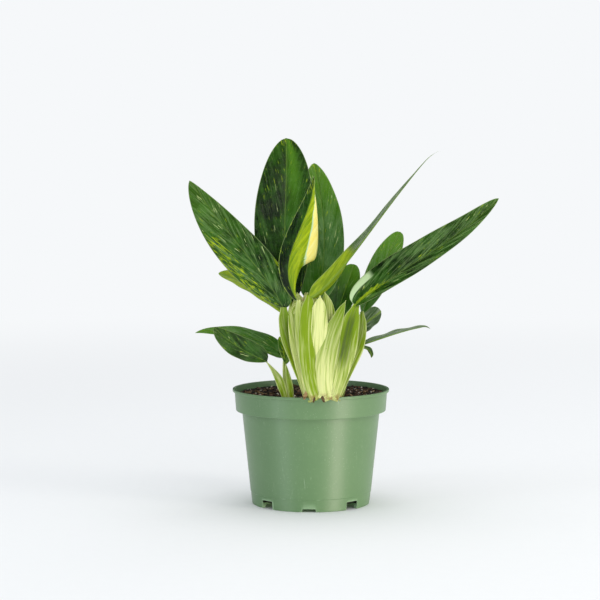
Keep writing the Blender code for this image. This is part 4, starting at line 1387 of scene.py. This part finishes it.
def make_lights(pot):
    """Softboxes round the plant, and the strips that light the pot alone."""
    for name, facts in SOFTBOXES.items():
        add_softbox(name, *facts)
    lit = bpy.data.collections.new("pot_only")
    lit.objects.link(pot)
    for name, facts in POT_STRIPS.items():
        strip = add_softbox(name, *facts)
        strip.light_linking.receiver_collection = lit
        strip.light_linking.blocker_collection = lit


def make_world():
    """A bright even surround that glossy surfaces see more darkly, as with black flags."""
    world = bpy.data.worlds.new("studio")
    world.use_nodes = True
    tree = world.node_tree
    surround = tree.nodes["Background"]
    dim = tree.nodes.new("ShaderNodeBackground")
    path = tree.nodes.new("ShaderNodeLightPath")
    mix = tree.nodes.new("ShaderNodeMixShader")
    surround.inputs["Color"].default_value = (*BACKGROUND, 1)
    dim.inputs["Color"].default_value = (*GLOSS_SURROUND, 1)
    tree.links.new(path.outputs["Is Glossy Ray"], mix.inputs[0])
    tree.links.new(surround.outputs[0], mix.inputs[1])
    tree.links.new(dim.outputs[0], mix.inputs[2])
    tree.links.new(mix.outputs[0], tree.nodes["World Output"].inputs["Surface"])
    world.cycles.sampling_method = "NONE"   # so that each ray sees its own surround
    bpy.context.scene.world = world


def make_floor():
    """A plain pale floor that melts into the background."""
    shade = Shade("pale_floor")
    tree = shade.tree
    x, y, _ = shade.split(shade.place())
    reach = shade.math("SQRT", shade.plus(shade.times(x, x),
                                          shade.times(y, y)))
    far = shade.fade(reach, *FLOOR_FADE)
    grain = shade.noise(shade.place(), 90.0, 3.0)
    shade.colour = shade.mix(grain, FLOOR_COLOUR, tuple(c * FLOOR_GRAIN for c in FLOOR_COLOUR))
    shade.finish(FLOOR_ROUGH)
    glow = shade.add("ShaderNodeEmission", {"Color": BACKGROUND, "Strength": 1.0})
    mix = shade.add("ShaderNodeMixShader", {0: far, 1: shade.shader.outputs[0], 2: glow.outputs[0]})
    tree.links.new(mix.outputs[0], tree.nodes["Material Output"].inputs["Surface"])
    bm = bmesh.new()
    bmesh.ops.create_circle(bm, cap_ends=True, segments=FLOOR_SEGMENTS, radius=FLOOR_RADIUS)
    mesh = bpy.data.meshes.new("floor")
    bm.to_mesh(mesh)
    bm.free()
    mesh.materials.append(shade.material)
    floor = add_thing("floor", mesh)
    floor.location.z = FLOOR_HEIGHT


# ---- everything ----------------------------------------------------------------

def build():
    """Make the camera, the lights, the floor and every piece."""
    dice = random.Random(SEED)
    make_camera()
    make_world()
    make_floor()
    bpy.context.scene.view_settings.view_transform = "Standard"
    materials = make_materials()
    make_lights(make_pot(materials))
    make_soil(materials)
    for name, (count, small, large, flatness, kind) in CRUMBS.items():
        make_crumbs(name, count, small, large, flatness, kind, materials, dice)
    make_base("plant_crown", CROWN_RINGS, CROWN_CREASES, True, dice.random(), materials)
    make_base("shoot_base_left", LEFT_SHOOT_RINGS, SHOOT_CREASES, False, dice.random(), materials)
    make_base("shoot_base_right", RIGHT_SHOOT_RINGS, SHOOT_CREASES, False, dice.random(), materials)
    for name, (points, radii, pale) in ROOTS.items():
        make_root(name, points, radii, pale, dice.random(), materials)
    for blade in BLADES:
        make_blade(blade, dice.random(), materials)
    for stalk in STALKS:
        make_stalk(stalk, dice.random(), materials)


build()
